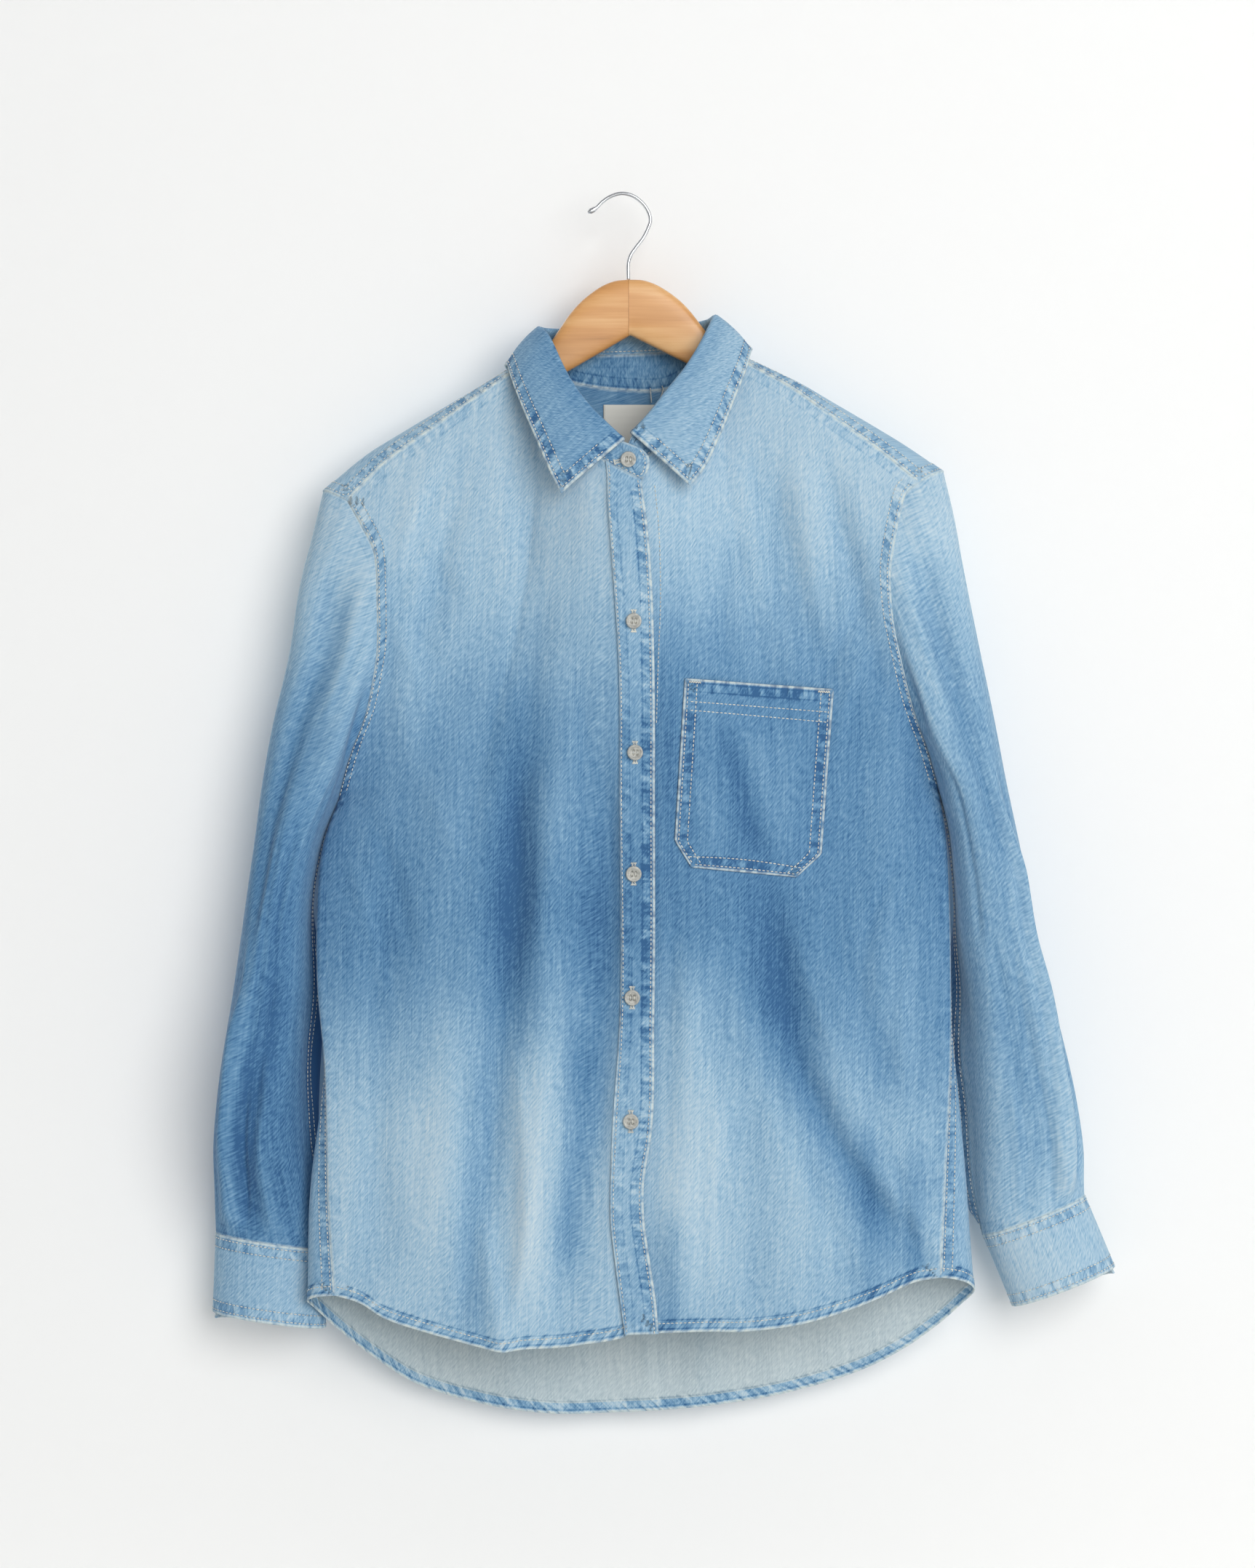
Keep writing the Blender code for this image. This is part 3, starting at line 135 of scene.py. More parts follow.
HEM_FRONT = {
    "right": [(26.9, -50, -830.5), (2, -50, -832), (-36, -50, -839.8), (-70, -52, -841.6),
              (-85, -53, -843.2), (-100, -52, -840.3), (-146, -47, -828.4), (-171, -44, -820),
              (-189, -41, -809.4), (-207, -38, -804.4)],
    "left": [(3.5, -48, -831), (27, -48, -830.3), (64, -49, -829), (90, -51, -828.7),
             (125, -52, -824.5), (156, -50, -816.9), (186, -47, -806), (213, -42, -794.8),
             (232.4, -38, -791.2)],
}
HEM_BACK = [(-207, -38, -804.4), (-221, -34, -806), (-228, -25, -809.8), (-225, -14, -815),
            (-208, -1, -832.7), (-182, 8, -854.7), (-150, 14, -876), (-104, 16.5, -890.6),
            (-54, 17, -898), (-12, 17, -898), (52, 17, -893.8), (118, 17, -884.2),
            (172, 15, -868.3), (207, 10, -850.7), (234, 3, -830.7), (251, -8, -813.7),
            (259.2, -20, -803), (253, -31, -796), (243, -36, -792.7), (232.4, -38, -791.2)]
print("neck seam:", len(NECK_BACK), "stations round the back")

# %% [markdown]
# ## Curves and grids
# A sheet of cloth is a function of two shares, v down and u across. Its cells are closer near the
# edges, where the seams are, and even between.

# %% Curves
CLOTH = 1.2                 # one layer of denim
DOUBLE = 1.9                # two layers, as in the collar, the yoke and the cuffs
STEP = 2.7                  # width of a cell of cloth
HEM_LEAN = 0.9              # how far a hem's puckers lean: along it for each step across it
NEAR = (0.8, 2.0, 3.6, 5.6, 7.8, 9.0, 10.2, 12.0)    # distances of the first cells from a seam


def runs(points, axis=0):
    """Lengths along one axis of a grid, from its start."""
    steps = np.linalg.norm(np.diff(points, axis=axis), axis=-1)
    return np.insert(np.cumsum(steps, axis=axis), 0, 0, axis=axis)


def cubic(points, slopes, k, u, h):
    """From station k to the next: (2u^3 - 3u^2 + 1) p + (u^3 - 2u^2 + u) h m + (3u^2 - 2u^3) q
    + (u^3 - u^2) h n, where p and q are the stations and m and n the slopes there."""
    return ((2 * u**3 - 3 * u**2 + 1) * points[k] + (u**3 - 2 * u**2 + u) * h * slopes[k]
            + (3 * u**2 - 2 * u**3) * points[k + 1] + (u**3 - u**2) * h * slopes[k + 1])


def smooth(stations, shares):
    """A smooth curve through the stations, read at these shares of its length."""
    p = np.asarray(stations, float)
    s = runs(p) / runs(p)[-1]
    slope = np.diff(p, axis=0) / np.diff(s)[:, None]
    slopes = np.concatenate([slope[:1], (p[2:] - p[:-2]) / (s[2:] - s[:-2])[:, None], slope[-1:]])
    t = np.clip(np.asarray(shares, float), 0, 1)
    k = np.clip(np.searchsorted(s, t, side="right") - 1, 0, len(s) - 2)
    h = (s[k + 1] - s[k])[:, None]
    return cubic(p, slopes, k, (t - s[k])[:, None] / h, h)


def column(table, index, at):
    """One column of a table as a smooth function of its first column."""
    t = np.asarray(table, float)
    t = t[np.argsort(t[:, 0])]
    x, y = t[:, 0], t[:, index]
    at = np.clip(at, x[0], x[-1])
    k = np.clip(np.searchsorted(x, at, side="right") - 1, 0, len(x) - 2)
    h = x[k + 1] - x[k]
    return cubic(y, np.gradient(y, x), k, (at - x[k]) / h, h)


def ramp(x):
    """0 below 0, 1 above 1, and 3x^2 - 2x^3 between."""
    x = np.clip(x, 0, 1)
    return x * x * (3 - 2 * x)


def unit(vectors):
    return vectors / np.maximum(np.linalg.norm(vectors, axis=-1, keepdims=True), 1e-9)


def sign(side):
    return -1 if side == "right" else 1


def spaced(length, first=NEAR, last=NEAR, step=STEP):
    """Shares of a line: these distances from its two ends, and even steps between them."""
    first, last = np.array([0, *first]), np.array([0, *last])
    cells = max(2, round((length - first[-1] - last[-1]) / step))
    middle = np.linspace(first[-1], length - last[-1], cells + 1)
    return np.concatenate([first[:-1], middle, (length - last[:-1])[::-1]]) / length


def followed(first, second, at, shares):
    """A line that follows `first` up to the share `at` and `second` from there on."""
    before = shares <= at
    return np.concatenate([smooth(first, shares[before] / at),
                           smooth(second, (shares[~before] - at) / (1 - at))])


print("cells near a seam, in mm:", NEAR)

# %% Sheets
def patch(left, right, top, bottom, across, depth, v, swell=0.0, hold=(1, 1)):
    """P = L + (R - L) across + swell, and then what the top and the bottom line need more, which
    dies away down the sheet as (1 - v)^a and up it as v^b."""
    share = np.stack([across, depth, across], -1)[None]
    sheet = left[:, None] + (right - left)[:, None] * share + swell
    v = v[:, None, None]
    return (sheet + (1 - v) ** hold[0] * (top - sheet[0])[None]
            + v ** hold[1] * (bottom - sheet[-1])[None])


def normals(sheet, closed=False):
    """Unit normals, outwards for rows that run down and columns to the left as it is looked at.
    A closed sheet has its first column once more at its end."""
    wide = np.concatenate([sheet[:, -2:-1], sheet, sheet[:, 1:2]], axis=1) if closed else sheet
    along = wide[:, 2:] - wide[:, :-2] if closed else np.gradient(sheet, axis=1)
    return unit(np.cross(along, np.gradient(sheet, axis=0)))


def fold_height(x, z, folds):
    """Soft folds: each is h exp(-(d/w)^2) along a curve through three points, where d is the
    distance from the curve. Its width, height and line waver a little, so no fold is ruled."""
    total = np.zeros_like(x)
    for number, (x0, z0, x1, z1, x2, z2, width, height) in enumerate(folds):
        t = np.clip((z - z0) / (z2 - z0), -0.2, 1.2)
        middle = (z1 - z0) / (z2 - z0)
        bend = (x1 - x0 - (x2 - x0) * middle) / (middle * (middle - 1))
        waver = np.sin(z / 31 + number * 2.1) + 0.6 * np.sin(z / 17 + number * 4.7)
        centre = x0 + (x2 - x0) * t + bend * t * (t - 1) + 1.6 * waver
        slope = ((x2 - x0) + bend * (2 * t - 1)) / (z2 - z0)
        distance = (x - centre) / np.sqrt(1 + slope**2)
        ends = ramp(t / 0.3) * ramp((1.12 - t) / 0.3)
        bell = np.exp(-((distance / (width * (1 + 0.12 * waver))) ** 2))
        total = total + height * (1 + 0.16 * np.sin(z / 43 + number)) * ends * bell
    return total


def waves(x, z, seed, size):
    """Small uneven ripples, as in cloth that was washed: a sum of six sines whose directions and
    phases come from the seed. Most of them run down the cloth."""
    rng = np.random.default_rng(seed)
    total = np.zeros_like(x)
    for _ in range(6):
        across, down = rng.uniform(0.6, 1.5) / size, rng.uniform(-0.35, 0.35) / size
        total += np.sin(x * across + z * down + rng.uniform(0, 6.3))
    return total / 6


# %% Places on a sheet
def sampled(grid, r, c):
    """Values of a grid between its points."""
    i = np.clip(np.floor(r).astype(int), 0, grid.shape[0] - 2)
    j = np.clip(np.floor(c).astype(int), 0, grid.shape[1] - 2)
    a, b = (r - i)[..., None], (c - j)[..., None]
    return ((grid[i, j] * (1 - a) + grid[i + 1, j] * a) * (1 - b)
            + (grid[i, j + 1] * (1 - a) + grid[i + 1, j + 1] * a) * b)


def places_on(sheet, x, z):
    """Rows and columns where a sheet has this x and z: from the nearest of a few points, by
    Newton's steps in the plane."""
    x, z = np.broadcast_arrays(np.asarray(x, float), np.asarray(z, float))
    flat = sheet[..., [0, 2]]
    few = flat[::6, ::6]
    far = (few[..., 0] - x[..., None, None]) ** 2 + (few[..., 1] - z[..., None, None]) ** 2
    best = far.reshape(*x.shape, -1).argmin(axis=-1)
    r, c = (6.0 * k for k in np.unravel_index(best, few.shape[:2]))
    down, along = np.gradient(flat, axis=0), np.gradient(flat, axis=1)
    for _ in range(12):
        error = np.stack([x, z], -1) - sampled(flat, r, c)
        d, a = sampled(down, r, c), sampled(along, r, c)
        area = d[..., 0] * a[..., 1] - a[..., 0] * d[..., 1]
        r = r + (error[..., 0] * a[..., 1] - error[..., 1] * a[..., 0]) / area
        c = c + (error[..., 1] * d[..., 0] - error[..., 0] * d[..., 1]) / area
        r, c = np.clip(r, 0, len(sheet) - 1), np.clip(c, 0, sheet.shape[1] - 1)
    return r, c


# Each edge of a sheet as its top
TURNED = {"top": lambda g: g, "bottom": lambda g: g[::-1],
          "first": lambda g: g.swapaxes(0, 1), "last": lambda g: g.swapaxes(0, 1)[::-1]}
EDGES = tuple(TURNED)


def from_edge(sheet, edge):
    """Distance of each point from an edge, and how far along that edge it is."""
    turned = TURNED[edge](sheet)
    distance, along = np.zeros((2, *sheet.shape[:2]))
    TURNED[edge](distance)[:] = runs(turned)
    TURNED[edge](along)[:] = runs(turned[0])
    return distance, along


def line_inside(sheet, edge, distance):
    """Rows and columns of the line that runs this far inside an edge."""
    turned = TURNED[edge](sheet)
    run = runs(turned)
    j = np.arange(run.shape[1])
    k = np.clip((run < distance).sum(axis=0) - 1, 0, len(run) - 2)
    inside = k + (distance - run[k, j]) / (run[k + 1, j] - run[k, j])
    if edge in ("bottom", "last"):
        inside = len(run) - 1 - inside
    return (inside, j) if edge in ("top", "bottom") else (j, inside)


print("edges of a sheet:", EDGES)


# %% [markdown]
# ## Meshes
# Cloth has two sides and a rounded rim. Each corner carries a place on the cloth in metres, which
# the weave reads. Each point carries how far it is from a seam, how far along it and how worn the
# seam is, how far it is from a folded hem, and how pale the cloth is: the wash's fade, with painted
# shade and light added in places.

# %% From arrays to meshes
def add_mesh(name, points, quads, finishes, tris=(), which=None, uv=None, values=None):
    """Points in millimetres, faces, finishes and what each corner and point carries."""
    corners = np.concatenate([np.ravel(quads), np.ravel(tris)]).astype(np.int32)
    starts = np.concatenate([4 * np.arange(len(quads)),
                             4 * len(quads) + 3 * np.arange(len(tris))]).astype(np.int32)
    mesh = bpy.data.meshes.new(name)
    mesh.vertices.add(len(points))
    mesh.vertices.foreach_set("co", np.ravel(points * MM))
    mesh.loops.add(len(corners))
    mesh.loops.foreach_set("vertex_index", corners)
    mesh.polygons.add(len(starts))
    mesh.polygons.foreach_set("loop_start", starts)
    mesh.update(calc_edges=True)
    mesh.shade_smooth()
    for finish in finishes:
        mesh.materials.append(finish)
    if which is not None:
        mesh.polygons.foreach_set("material_index", which.astype(np.int32))
    if uv is not None:
        mesh.uv_layers.new(name="cloth").data.foreach_set("uv", np.ravel(uv))
    for key, value in (values or {}).items():
        kind = "FLOAT_VECTOR" if value.ndim == 2 else "FLOAT"
        made = mesh.attributes.new(key, kind, "POINT")
        made.data.foreach_set("vector" if value.ndim == 2 else "value", np.ravel(value))
    mesh.validate()
    made = bpy.data.objects.new(name, mesh)
    bpy.context.scene.collection.objects.link(made)
    return made


def grid_quads(rows, columns):
    """Corners of each cell of a grid, clockwise as its outer side is looked at."""
    a = (np.arange(rows - 1)[:, None] * columns + np.arange(columns - 1)).ravel()
    return np.stack([a, a + 1, a + columns + 1, a + columns], -1)


pieces = {}     # of cloth, by name


def cloth(name, outer, thick, finishes, seams, wash, hem=None, closed=False, plane=False,
          inward=None, wash_inside=None, flat=None, straight=0):
    """A shell: its outer grid P, its inner grid P - n thick, and a rim that bulges between them.
    `seams` gives the edges that are sewn and how worn each is, and `wash` how pale the cloth is,
    with `wash_inside` where the inner side differs. `flat` is the sheet before its folds, on which
    the yarns are laid out from the column `straight`. A hem's puckers lean: it twists like a rope
    as it is sewn."""
    rows, columns = outer.shape[:2]
    inward = -normals(outer, closed) if inward is None else inward
    inner = outer + inward * thick
    laid = outer if flat is None else flat
    run = runs(laid[..., :2] if plane else laid, axis=1)
    run = np.broadcast_to(run[rows // 2], run.shape) if closed else run
    start = laid[:, straight, 0] if plane and not closed else 0
    run = run - (run[:, straight] + start)[:, None]
    down = -outer[..., 2] if plane else np.broadcast_to(
        runs(outer[:, columns // 2])[:, None], (rows, columns))
    uv = np.stack([-run, -down], -1)
    near, apart = np.full((rows, columns, 3), (0.0, 99.0, 0.0)), np.full((rows, columns), 99.0)
    for edge, worn in seams:
        distance, along = from_edge(outer, edge)
        along = along + (HEM_LEAN * distance if edge == hem else 0)
        apart = np.minimum(apart, np.abs(distance - near[..., 1]))
        closer = distance < near[..., 1]
        near[closer] = np.stack([along, distance, worn + np.zeros_like(along)], -1)[closer]
    near[..., 2] *= ramp(apart / 3)     # where two seams meet, neither puckers
    folded = from_edge(outer, hem)[0] if hem else np.full((rows, columns), 99.0)
    cells, far = grid_quads(rows, columns), rows * columns
    ids = np.arange(far).reshape(rows, columns)
    quads, source = [cells, far + cells[:, ::-1]], [ids.ravel(), ids.ravel()]
    rims = [ids[0], ids[-1, ::-1]] if closed else [
        np.concatenate([ids[0, :-1], ids[:-1, -1], ids[-1, :0:-1], ids[:0:-1, 0], ids[:1, 0]])]
    for line in rims:
        middle = sum(map(len, source)) + np.append(np.arange(len(line) - 1), 0)
        source.append(line[:-1])
        a, b, m, n = line[:-1], line[1:], middle[:-1], middle[1:]
        quads += [np.stack([b, a, m, n], -1), np.stack([n, m, a + far, b + far], -1)]
    source, quads = np.concatenate(source), np.concatenate(quads)
    r, c = source[2 * far:] // columns, source[2 * far:] % columns
    inside = outer[np.clip(r, 1, rows - 2), c if closed else np.clip(c, 1, columns - 2)]
    bulge = (outer[r, c] + inner[r, c]) / 2 + unit(outer[r, c] - inside) * thick * 0.3
    points = np.concatenate([outer.reshape(-1, 3), inner.reshape(-1, 3), bulge])
    corner_uv = uv.reshape(-1, 2)[source][quads] * MM
    if closed:
        # The last column is the first one once more, so its points are left out.
        doubled = (quads < 2 * far) & (quads % columns == columns - 1)
        quads = np.where(doubled, quads - columns + 1, quads)
    kept, quads = np.unique(quads, return_inverse=True)
    quads = quads.reshape(-1, 4)
    which = np.zeros(len(quads), int)
    which[len(cells):2 * len(cells)] = len(finishes) - 1
    wash = np.broadcast_to(wash, (rows, columns)).ravel()[source]
    if wash_inside is not None:
        wash[far:2 * far] = np.broadcast_to(wash_inside, (rows, columns)).ravel()
    values = {"seam": near.reshape(-1, 3)[source], "hem": folded.ravel()[source], "wash": wash}
    values = {key: value[kept] for key, value in values.items()}
    pieces[name] = add_mesh(f"shirt_{name}", points[kept], quads, finishes, which=which,
                            uv=corner_uv, values=values)
    print(pieces[name].name, outer.shape[:2], "faces:", len(quads))


# %% [markdown]
# ## Finishes
# Denim is cotton twill: blue warp threads pass over three white weft threads and under one, so
# fine slanting lines cross the face, and the reverse is nearly white. Washing takes the indigo off
# wherever the cloth stands proud: ridges, seams and edges go pale, and hollows stay blue. So the
# colour is a scale from deep to pale, and everything that shifts it is added up before it is read.
# The scale also carries painted shade and light, set on the pieces: darker fold hollows, the dark
# gap between sleeve and body, and the sides away from the lamp.

# %% A node, and colours
def linear(code):
    """sRGB hex to linear colour: ((c + 0.055) / 1.055)^2.4 above 0.04045, else c / 12.92."""
    c = np.array([int(code[k:k + 2], 16) for k in (1, 3, 5)]) / 255
    return (*np.where(c > 0.04045, ((c + 0.055) / 1.055) ** 2.4, c / 12.92), 1.0)


def feed(tree, node, inputs):
    """Fills a node's inputs, each with a number, a colour, an output, or a node's first output."""
    for key, value in inputs.items():
        value = value.outputs[0] if isinstance(value, bpy.types.Node) else value
        if isinstance(value, bpy.types.NodeSocket):
            tree.links.new(value, node.inputs[key])
        else:
            node.inputs[key].default_value = value


def add_node(tree, kind, inputs=None, stops=(), **settings):
    """Adds a node with its settings, its inputs and, on a colour ramp, its stops."""
    made = tree.nodes.new("ShaderNode" + kind)
    for key, value in settings.items():
        setattr(made, key, value)
    feed(tree, made, inputs or {})
    for k, (place, code) in enumerate(stops):
        at = made.color_ramp.elements
        stop = at[k] if k < len(at) else at.new(place)
        stop.position = place
        stop.color = linear(code)
    return made


def new_finish(name, colour, **surface):
    """A material with these values on its shader. Returns it, its nodes and the shader."""
    made = bpy.data.materials.new(name)
    made.use_nodes = True
    made.diffuse_color = linear(colour)
    shader = made.node_tree.nodes["Principled BSDF"]
    surface = {key.replace("_", " "): value for key, value in surface.items()}
    feed(made.node_tree, shader, {"Base Color": linear(colour), **surface})
    return made, made.node_tree, shader


print("hex to linear:", [round(float(part), 3) for part in linear("#808080")[:3]])

# %% Washed cotton twill
TWILL = 2.2                 # mm between twill lines; real ones lie 1.05 apart, too fine to show
TWILL_LEAN = np.radians(38)     # the lines climb to the right, 52 degrees from level
PUCKER = 4.6                # mm from pucker to pucker along a seam
PUCKER_LONG = 14.0          # mm over which a pucker changes across the seam
SEAM_WIDE = 11.0            # mm of cloth that a felled seam puckers
HEM_DEPTH = 7.7             # mm
WAVE = 2 * np.pi / 20       # a wave texture of scale 1 repeats after this

FACE = ((0.0, "#35608C"), (0.22, "#5784AA"), (0.44, "#789FBE"), (0.62, "#96B7CE"),
        (0.78, "#ADC6D6"), (1.0, "#C6D5DC"))
REVERSE = ((0.0, "#7F97A8"), (0.4, "#A1B4BE"), (0.75, "#C3D0D4"), (1.0, "#D6DFE0"))
WORN_EDGE = "#D0D9D6"       # the white of the weft, which a rubbed edge shows
ROW = 2.6                   # mm from an edge to its first row of stitches
ROWS_APART = 6.4            # mm between the two rows of a double seam
# Uneven yarn, as noise: on the turned lines or not, how often it changes in a metre across and
# along, its detail, its roughness, and its share of the colour
UNEVEN = ((True, (1000, 200, 1), 1.0, 0.5, 0.66),   # floats of single yarns
          (False, (1100, 24, 1), 2.0, 0.5, 0.36),   # streaks
          (False, (170, 6, 1), 3.0, 0.62, 0.24),    # broad fades
          (False, (24, 24, 24), 3.0, 0.5, 0.10))    # patches


def washed_twill(name, stops, lean, twill_depth, hem_stops=None):
    """Cotton twill, piece-dyed by its warp and stone-washed: matt, faintly furry, with slanting
    lines, upright streaks where the yarn is uneven, and marbled puckers along the sewing."""
    made, tree, shader = new_finish(name, stops[2][1], Roughness=0.88, Sheen_Weight=0.12,
                                    Sheen_Roughness=0.45, Specular_IOR_Level=0.25)
    place = add_node(tree, "UVMap", uv_map="cloth")
    turned = add_node(tree, "Mapping", {"Vector": place, "Rotation": (0, 0, lean)})
    lines = add_node(tree, "TexWave", {"Vector": turned, "Scale": WAVE / TWILL / MM,
                                       "Distortion": 1.2, "Detail": 1.0, "Detail Scale": 2.0})
    weave = [(lines.outputs["Fac"], twill_depth)]
    for on_lines, scale, detail, rough, share in UNEVEN:
        spread = add_node(tree, "Mapping", {"Vector": turned if on_lines else place,
                                            "Scale": scale})
        weave.append((add_node(tree, "TexNoise", {"Vector": spread, "Scale": 1.0,
                                                  "Detail": detail, "Roughness": rough}), share))

    seam = add_node(tree, "Attribute", attribute_name="seam").outputs["Vector"]
    along, distance, worn = add_node(tree, "SeparateXYZ", {0: seam}).outputs
    steps = add_node(tree, "Math", {0: along, 1: PUCKER}, operation="DIVIDE")
    rise = add_node(tree, "Math", {0: distance, 1: PUCKER_LONG}, operation="DIVIDE")
    puckered = add_node(tree, "CombineXYZ", {0: steps, 1: rise, 2: worn})
    marble = add_node(tree, "TexNoise", {"Vector": puckered, "Scale": 1.0, "Detail": 2.0,
                                         "Distortion": 0.4})
    ridges = add_node(tree, "MapRange", {0: marble, 1: 0.32, 2: 0.68, 3: -1.5, 4: 0.9})
    band = add_node(tree, "MapRange", {0: distance, 1: SEAM_WIDE, 2: SEAM_WIDE - 2})
    much = add_node(tree, "Math", {0: worn, 1: worn}, operation="MULTIPLY")
    sewn_in = add_node(tree, "Math", {0: band, 1: much}, operation="MULTIPLY")
    pucker = add_node(tree, "Math", {0: ridges, 1: sewn_in}, operation="MULTIPLY")
    past = add_node(tree, "Math", {0: distance, 1: ROW}, operation="SUBTRACT")
    from_row = add_node(tree, "Math", {0: past, 1: ROWS_APART / 2}, operation="PINGPONG")
    sunk = add_node(tree, "MapRange", {0: from_row, 1: 0.35, 2: 0.9, 3: 1.0, 4: 0.0})
    groove = add_node(tree, "Math", {0: sunk, 1: sewn_in}, operation="MULTIPLY")

    pale = add_node(tree, "Attribute", attribute_name="wash").outputs["Fac"]
    for source, share in ((pucker, 0.19), (groove, -0.16)):
        pale = add_node(tree, "Math", {0: source, 1: share, 2: pale}, operation="MULTIPLY_ADD")
    for source, share in weave:
        centred = add_node(tree, "Math", {0: source, 1: 0.5}, operation="SUBTRACT")
        pale = add_node(tree, "Math", {0: centred, 1: share, 2: pale}, operation="MULTIPLY_ADD")
    colour = add_node(tree, "ValToRGB", {"Fac": pale}, stops)
    if hem_stops:
        turned_up = add_node(tree, "ValToRGB", {"Fac": pale}, hem_stops)
        hem = add_node(tree, "Attribute", attribute_name="hem").outputs["Fac"]
        folded = add_node(tree, "Math", {0: hem, 1: HEM_DEPTH}, operation="LESS_THAN")
        colour = add_node(tree, "Mix", {0: folded, 6: colour, 7: turned_up},
                          data_type="RGBA").outputs[2]
    rim = add_node(tree, "MapRange", {0: distance, 1: 1.9, 2: 0.7})
    rubbed = add_node(tree, "Math", {0: rim, 1: worn}, operation="MULTIPLY")
    patchy = add_node(tree, "MapRange", {0: marble, 1: 0.35, 2: 0.6, 3: 0.3, 4: 0.8})
    edge = add_node(tree, "Math", {0: rubbed, 1: patchy}, operation="MULTIPLY")
    colour = add_node(tree, "Mix", {0: edge, 6: colour, 7: linear(WORN_EDGE)},
                      data_type="RGBA").outputs[2]

    streaks = weave[2][0]
    height = add_node(tree, "Math", {0: weave[0][0], 1: 0.10, 2: streaks},
                      operation="MULTIPLY_ADD")
    height = add_node(tree, "Math", {0: height, 1: 0.16}, operation="MULTIPLY")
    relief = add_node(tree, "Math", {0: pucker, 1: 0.26, 2: height}, operation="MULTIPLY_ADD")
    bump = add_node(tree, "Bump", {"Strength": 1.0, "Distance": MM, "Height": relief})
    feed(tree, shader, {"Base Color": colour, "Normal": bump})
    return made


denim = washed_twill("washed cotton twill, face", FACE, TWILL_LEAN, 0.05)
lining = washed_twill("washed cotton twill, reverse", REVERSE, -TWILL_LEAN, 0.04, FACE)
print("cloth:", denim.name, "and", lining.name)

# %% [markdown]
# ## Finishes of the hard and small parts
# The buttons are cast polyester with a horn-like cloud in it. The hanger is beech, planed, sanded
# and lacquered, so its grain runs along the arms under a thin gloss. The hook is steel wire that
# was bent and chrome-plated. The sewing thread is spun polyester and cotton, matt and ecru.

# %% Thread, buttons, label, wood and wire
def clouded(name, colour, noise, stops, **surface):
    """A finish whose colour drifts between the stops, in clouds of this noise."""
    made, tree, shader = new_finish(name, colour, **surface)
    place = add_node(tree, "TexCoord").outputs["Object"]
    cloud = add_node(tree, "TexNoise", {"Vector": place, **noise})
    feed(tree, shader, {"Base Color": add_node(tree, "ValToRGB", {"Fac": cloud}, stops)})
    return made


def woven_satin():
    """Polyester satin: long floats of filament yarn, 0.3 mm apart, with a soft gloss across."""
    made, tree, shader = new_finish("woven polyester satin", "#E0DFD6", Roughness=0.42,
                                    Sheen_Weight=0.1)
    place = add_node(tree, "UVMap", uv_map="cloth")
    floats = add_node(tree, "TexWave", {"Vector": place, "Scale": WAVE / 0.6 / MM,
                                        "Distortion": 0.6}, bands_direction="Y").outputs["Fac"]
    colour = add_node(tree, "ValToRGB", {"Fac": floats}, ((0.0, "#D8D7CE"), (1.0, "#E8E6DD")))
    bump = add_node(tree, "Bump", {"Strength": 0.5, "Distance": 0.1 * MM, "Height": floats})
    feed(tree, shader, {"Base Color": colour, "Normal": bump})
    return made


JOINT = 6.4                 # mm from the middle to where the hanger's two halves are glued


def lacquered_beech():
    """Beech: pale honey, with fine grain 0.7 mm apart and short darker flecks along the arms. The
    two halves are glued at an upright joint, which shows as a fine dark line, and each half is
    from another board, so the grain jumps there. The left half is made a little lighter than
    the right: painted light, as if it faced the lamp more."""
    made, tree, shader = new_finish("lacquered beech", "#DDA266", Roughness=0.38,
                                    Coat_Weight=0.3, Coat_Roughness=0.25)
    place = add_node(tree, "TexCoord").outputs["Object"]
    over = add_node(tree, "SeparateXYZ", {0: place})
    from_joint = add_node(tree, "Math", {0: over, 1: JOINT * MM}, operation="SUBTRACT")
    half = add_node(tree, "Math", {0: from_joint, 1: 0.0}, operation="GREATER_THAN")
    shift = add_node(tree, "CombineXYZ", {0: half, 2: half})
    place = add_node(tree, "VectorMath", {0: place, 1: shift}, operation="ADD")
    grain, rings = (add_node(tree, "TexNoise", {
        "Vector": add_node(tree, "Mapping", {"Vector": place, "Scale": scale}), "Scale": 1.0,
        "Detail": detail}) for scale, detail in (((18, 700, 700), 3.0), ((9, 90, 90), 2.0)))
    both = add_node(tree, "Math", {0: grain, 1: 0.3, 2: rings}, operation="MULTIPLY_ADD")
    # Painted light: the left half is made a little lighter, as if it faced the lamp more
    painted_lit_half = add_node(tree, "Math", {0: half, 1: 0.14, 2: both}, operation="MULTIPLY_ADD")
    gap = add_node(tree, "Math", {0: from_joint}, operation="ABSOLUTE")
    line = add_node(tree, "MapRange", {0: gap, 1: 0.15 * MM, 2: 0.5 * MM, 3: 0.35, 4: 0.0})
    shade = add_node(tree, "Math", {0: painted_lit_half, 1: line}, operation="SUBTRACT")
    colour = add_node(tree, "ValToRGB", {"Fac": shade},
                      ((0.2, "#A06C3A"), (0.5, "#CA9055"), (0.72, "#D79E62"), (0.95, "#E4B47C")))
    bump = add_node(tree, "Bump", {"Strength": 0.4, "Distance": 0.2 * MM, "Height": grain})
    feed(tree, shader, {"Base Color": colour, "Normal": bump})
    return made


def plated_wire():
    """Chrome on bright drawn steel: a clear mirror with faint marks along it."""
    made, tree, shader = new_finish("chrome-plated steel wire", "#D3D5D8", Metallic=1.0,
                                    Roughness=0.14)
    place = add_node(tree, "TexCoord").outputs["Object"]
    marks = add_node(tree, "TexNoise", {"Vector": place, "Scale": 900.0, "Detail": 2.0})
    feed(tree, shader, {"Roughness": add_node(tree, "MapRange", {0: marks, 3: 0.1, 4: 0.2})})
    return made


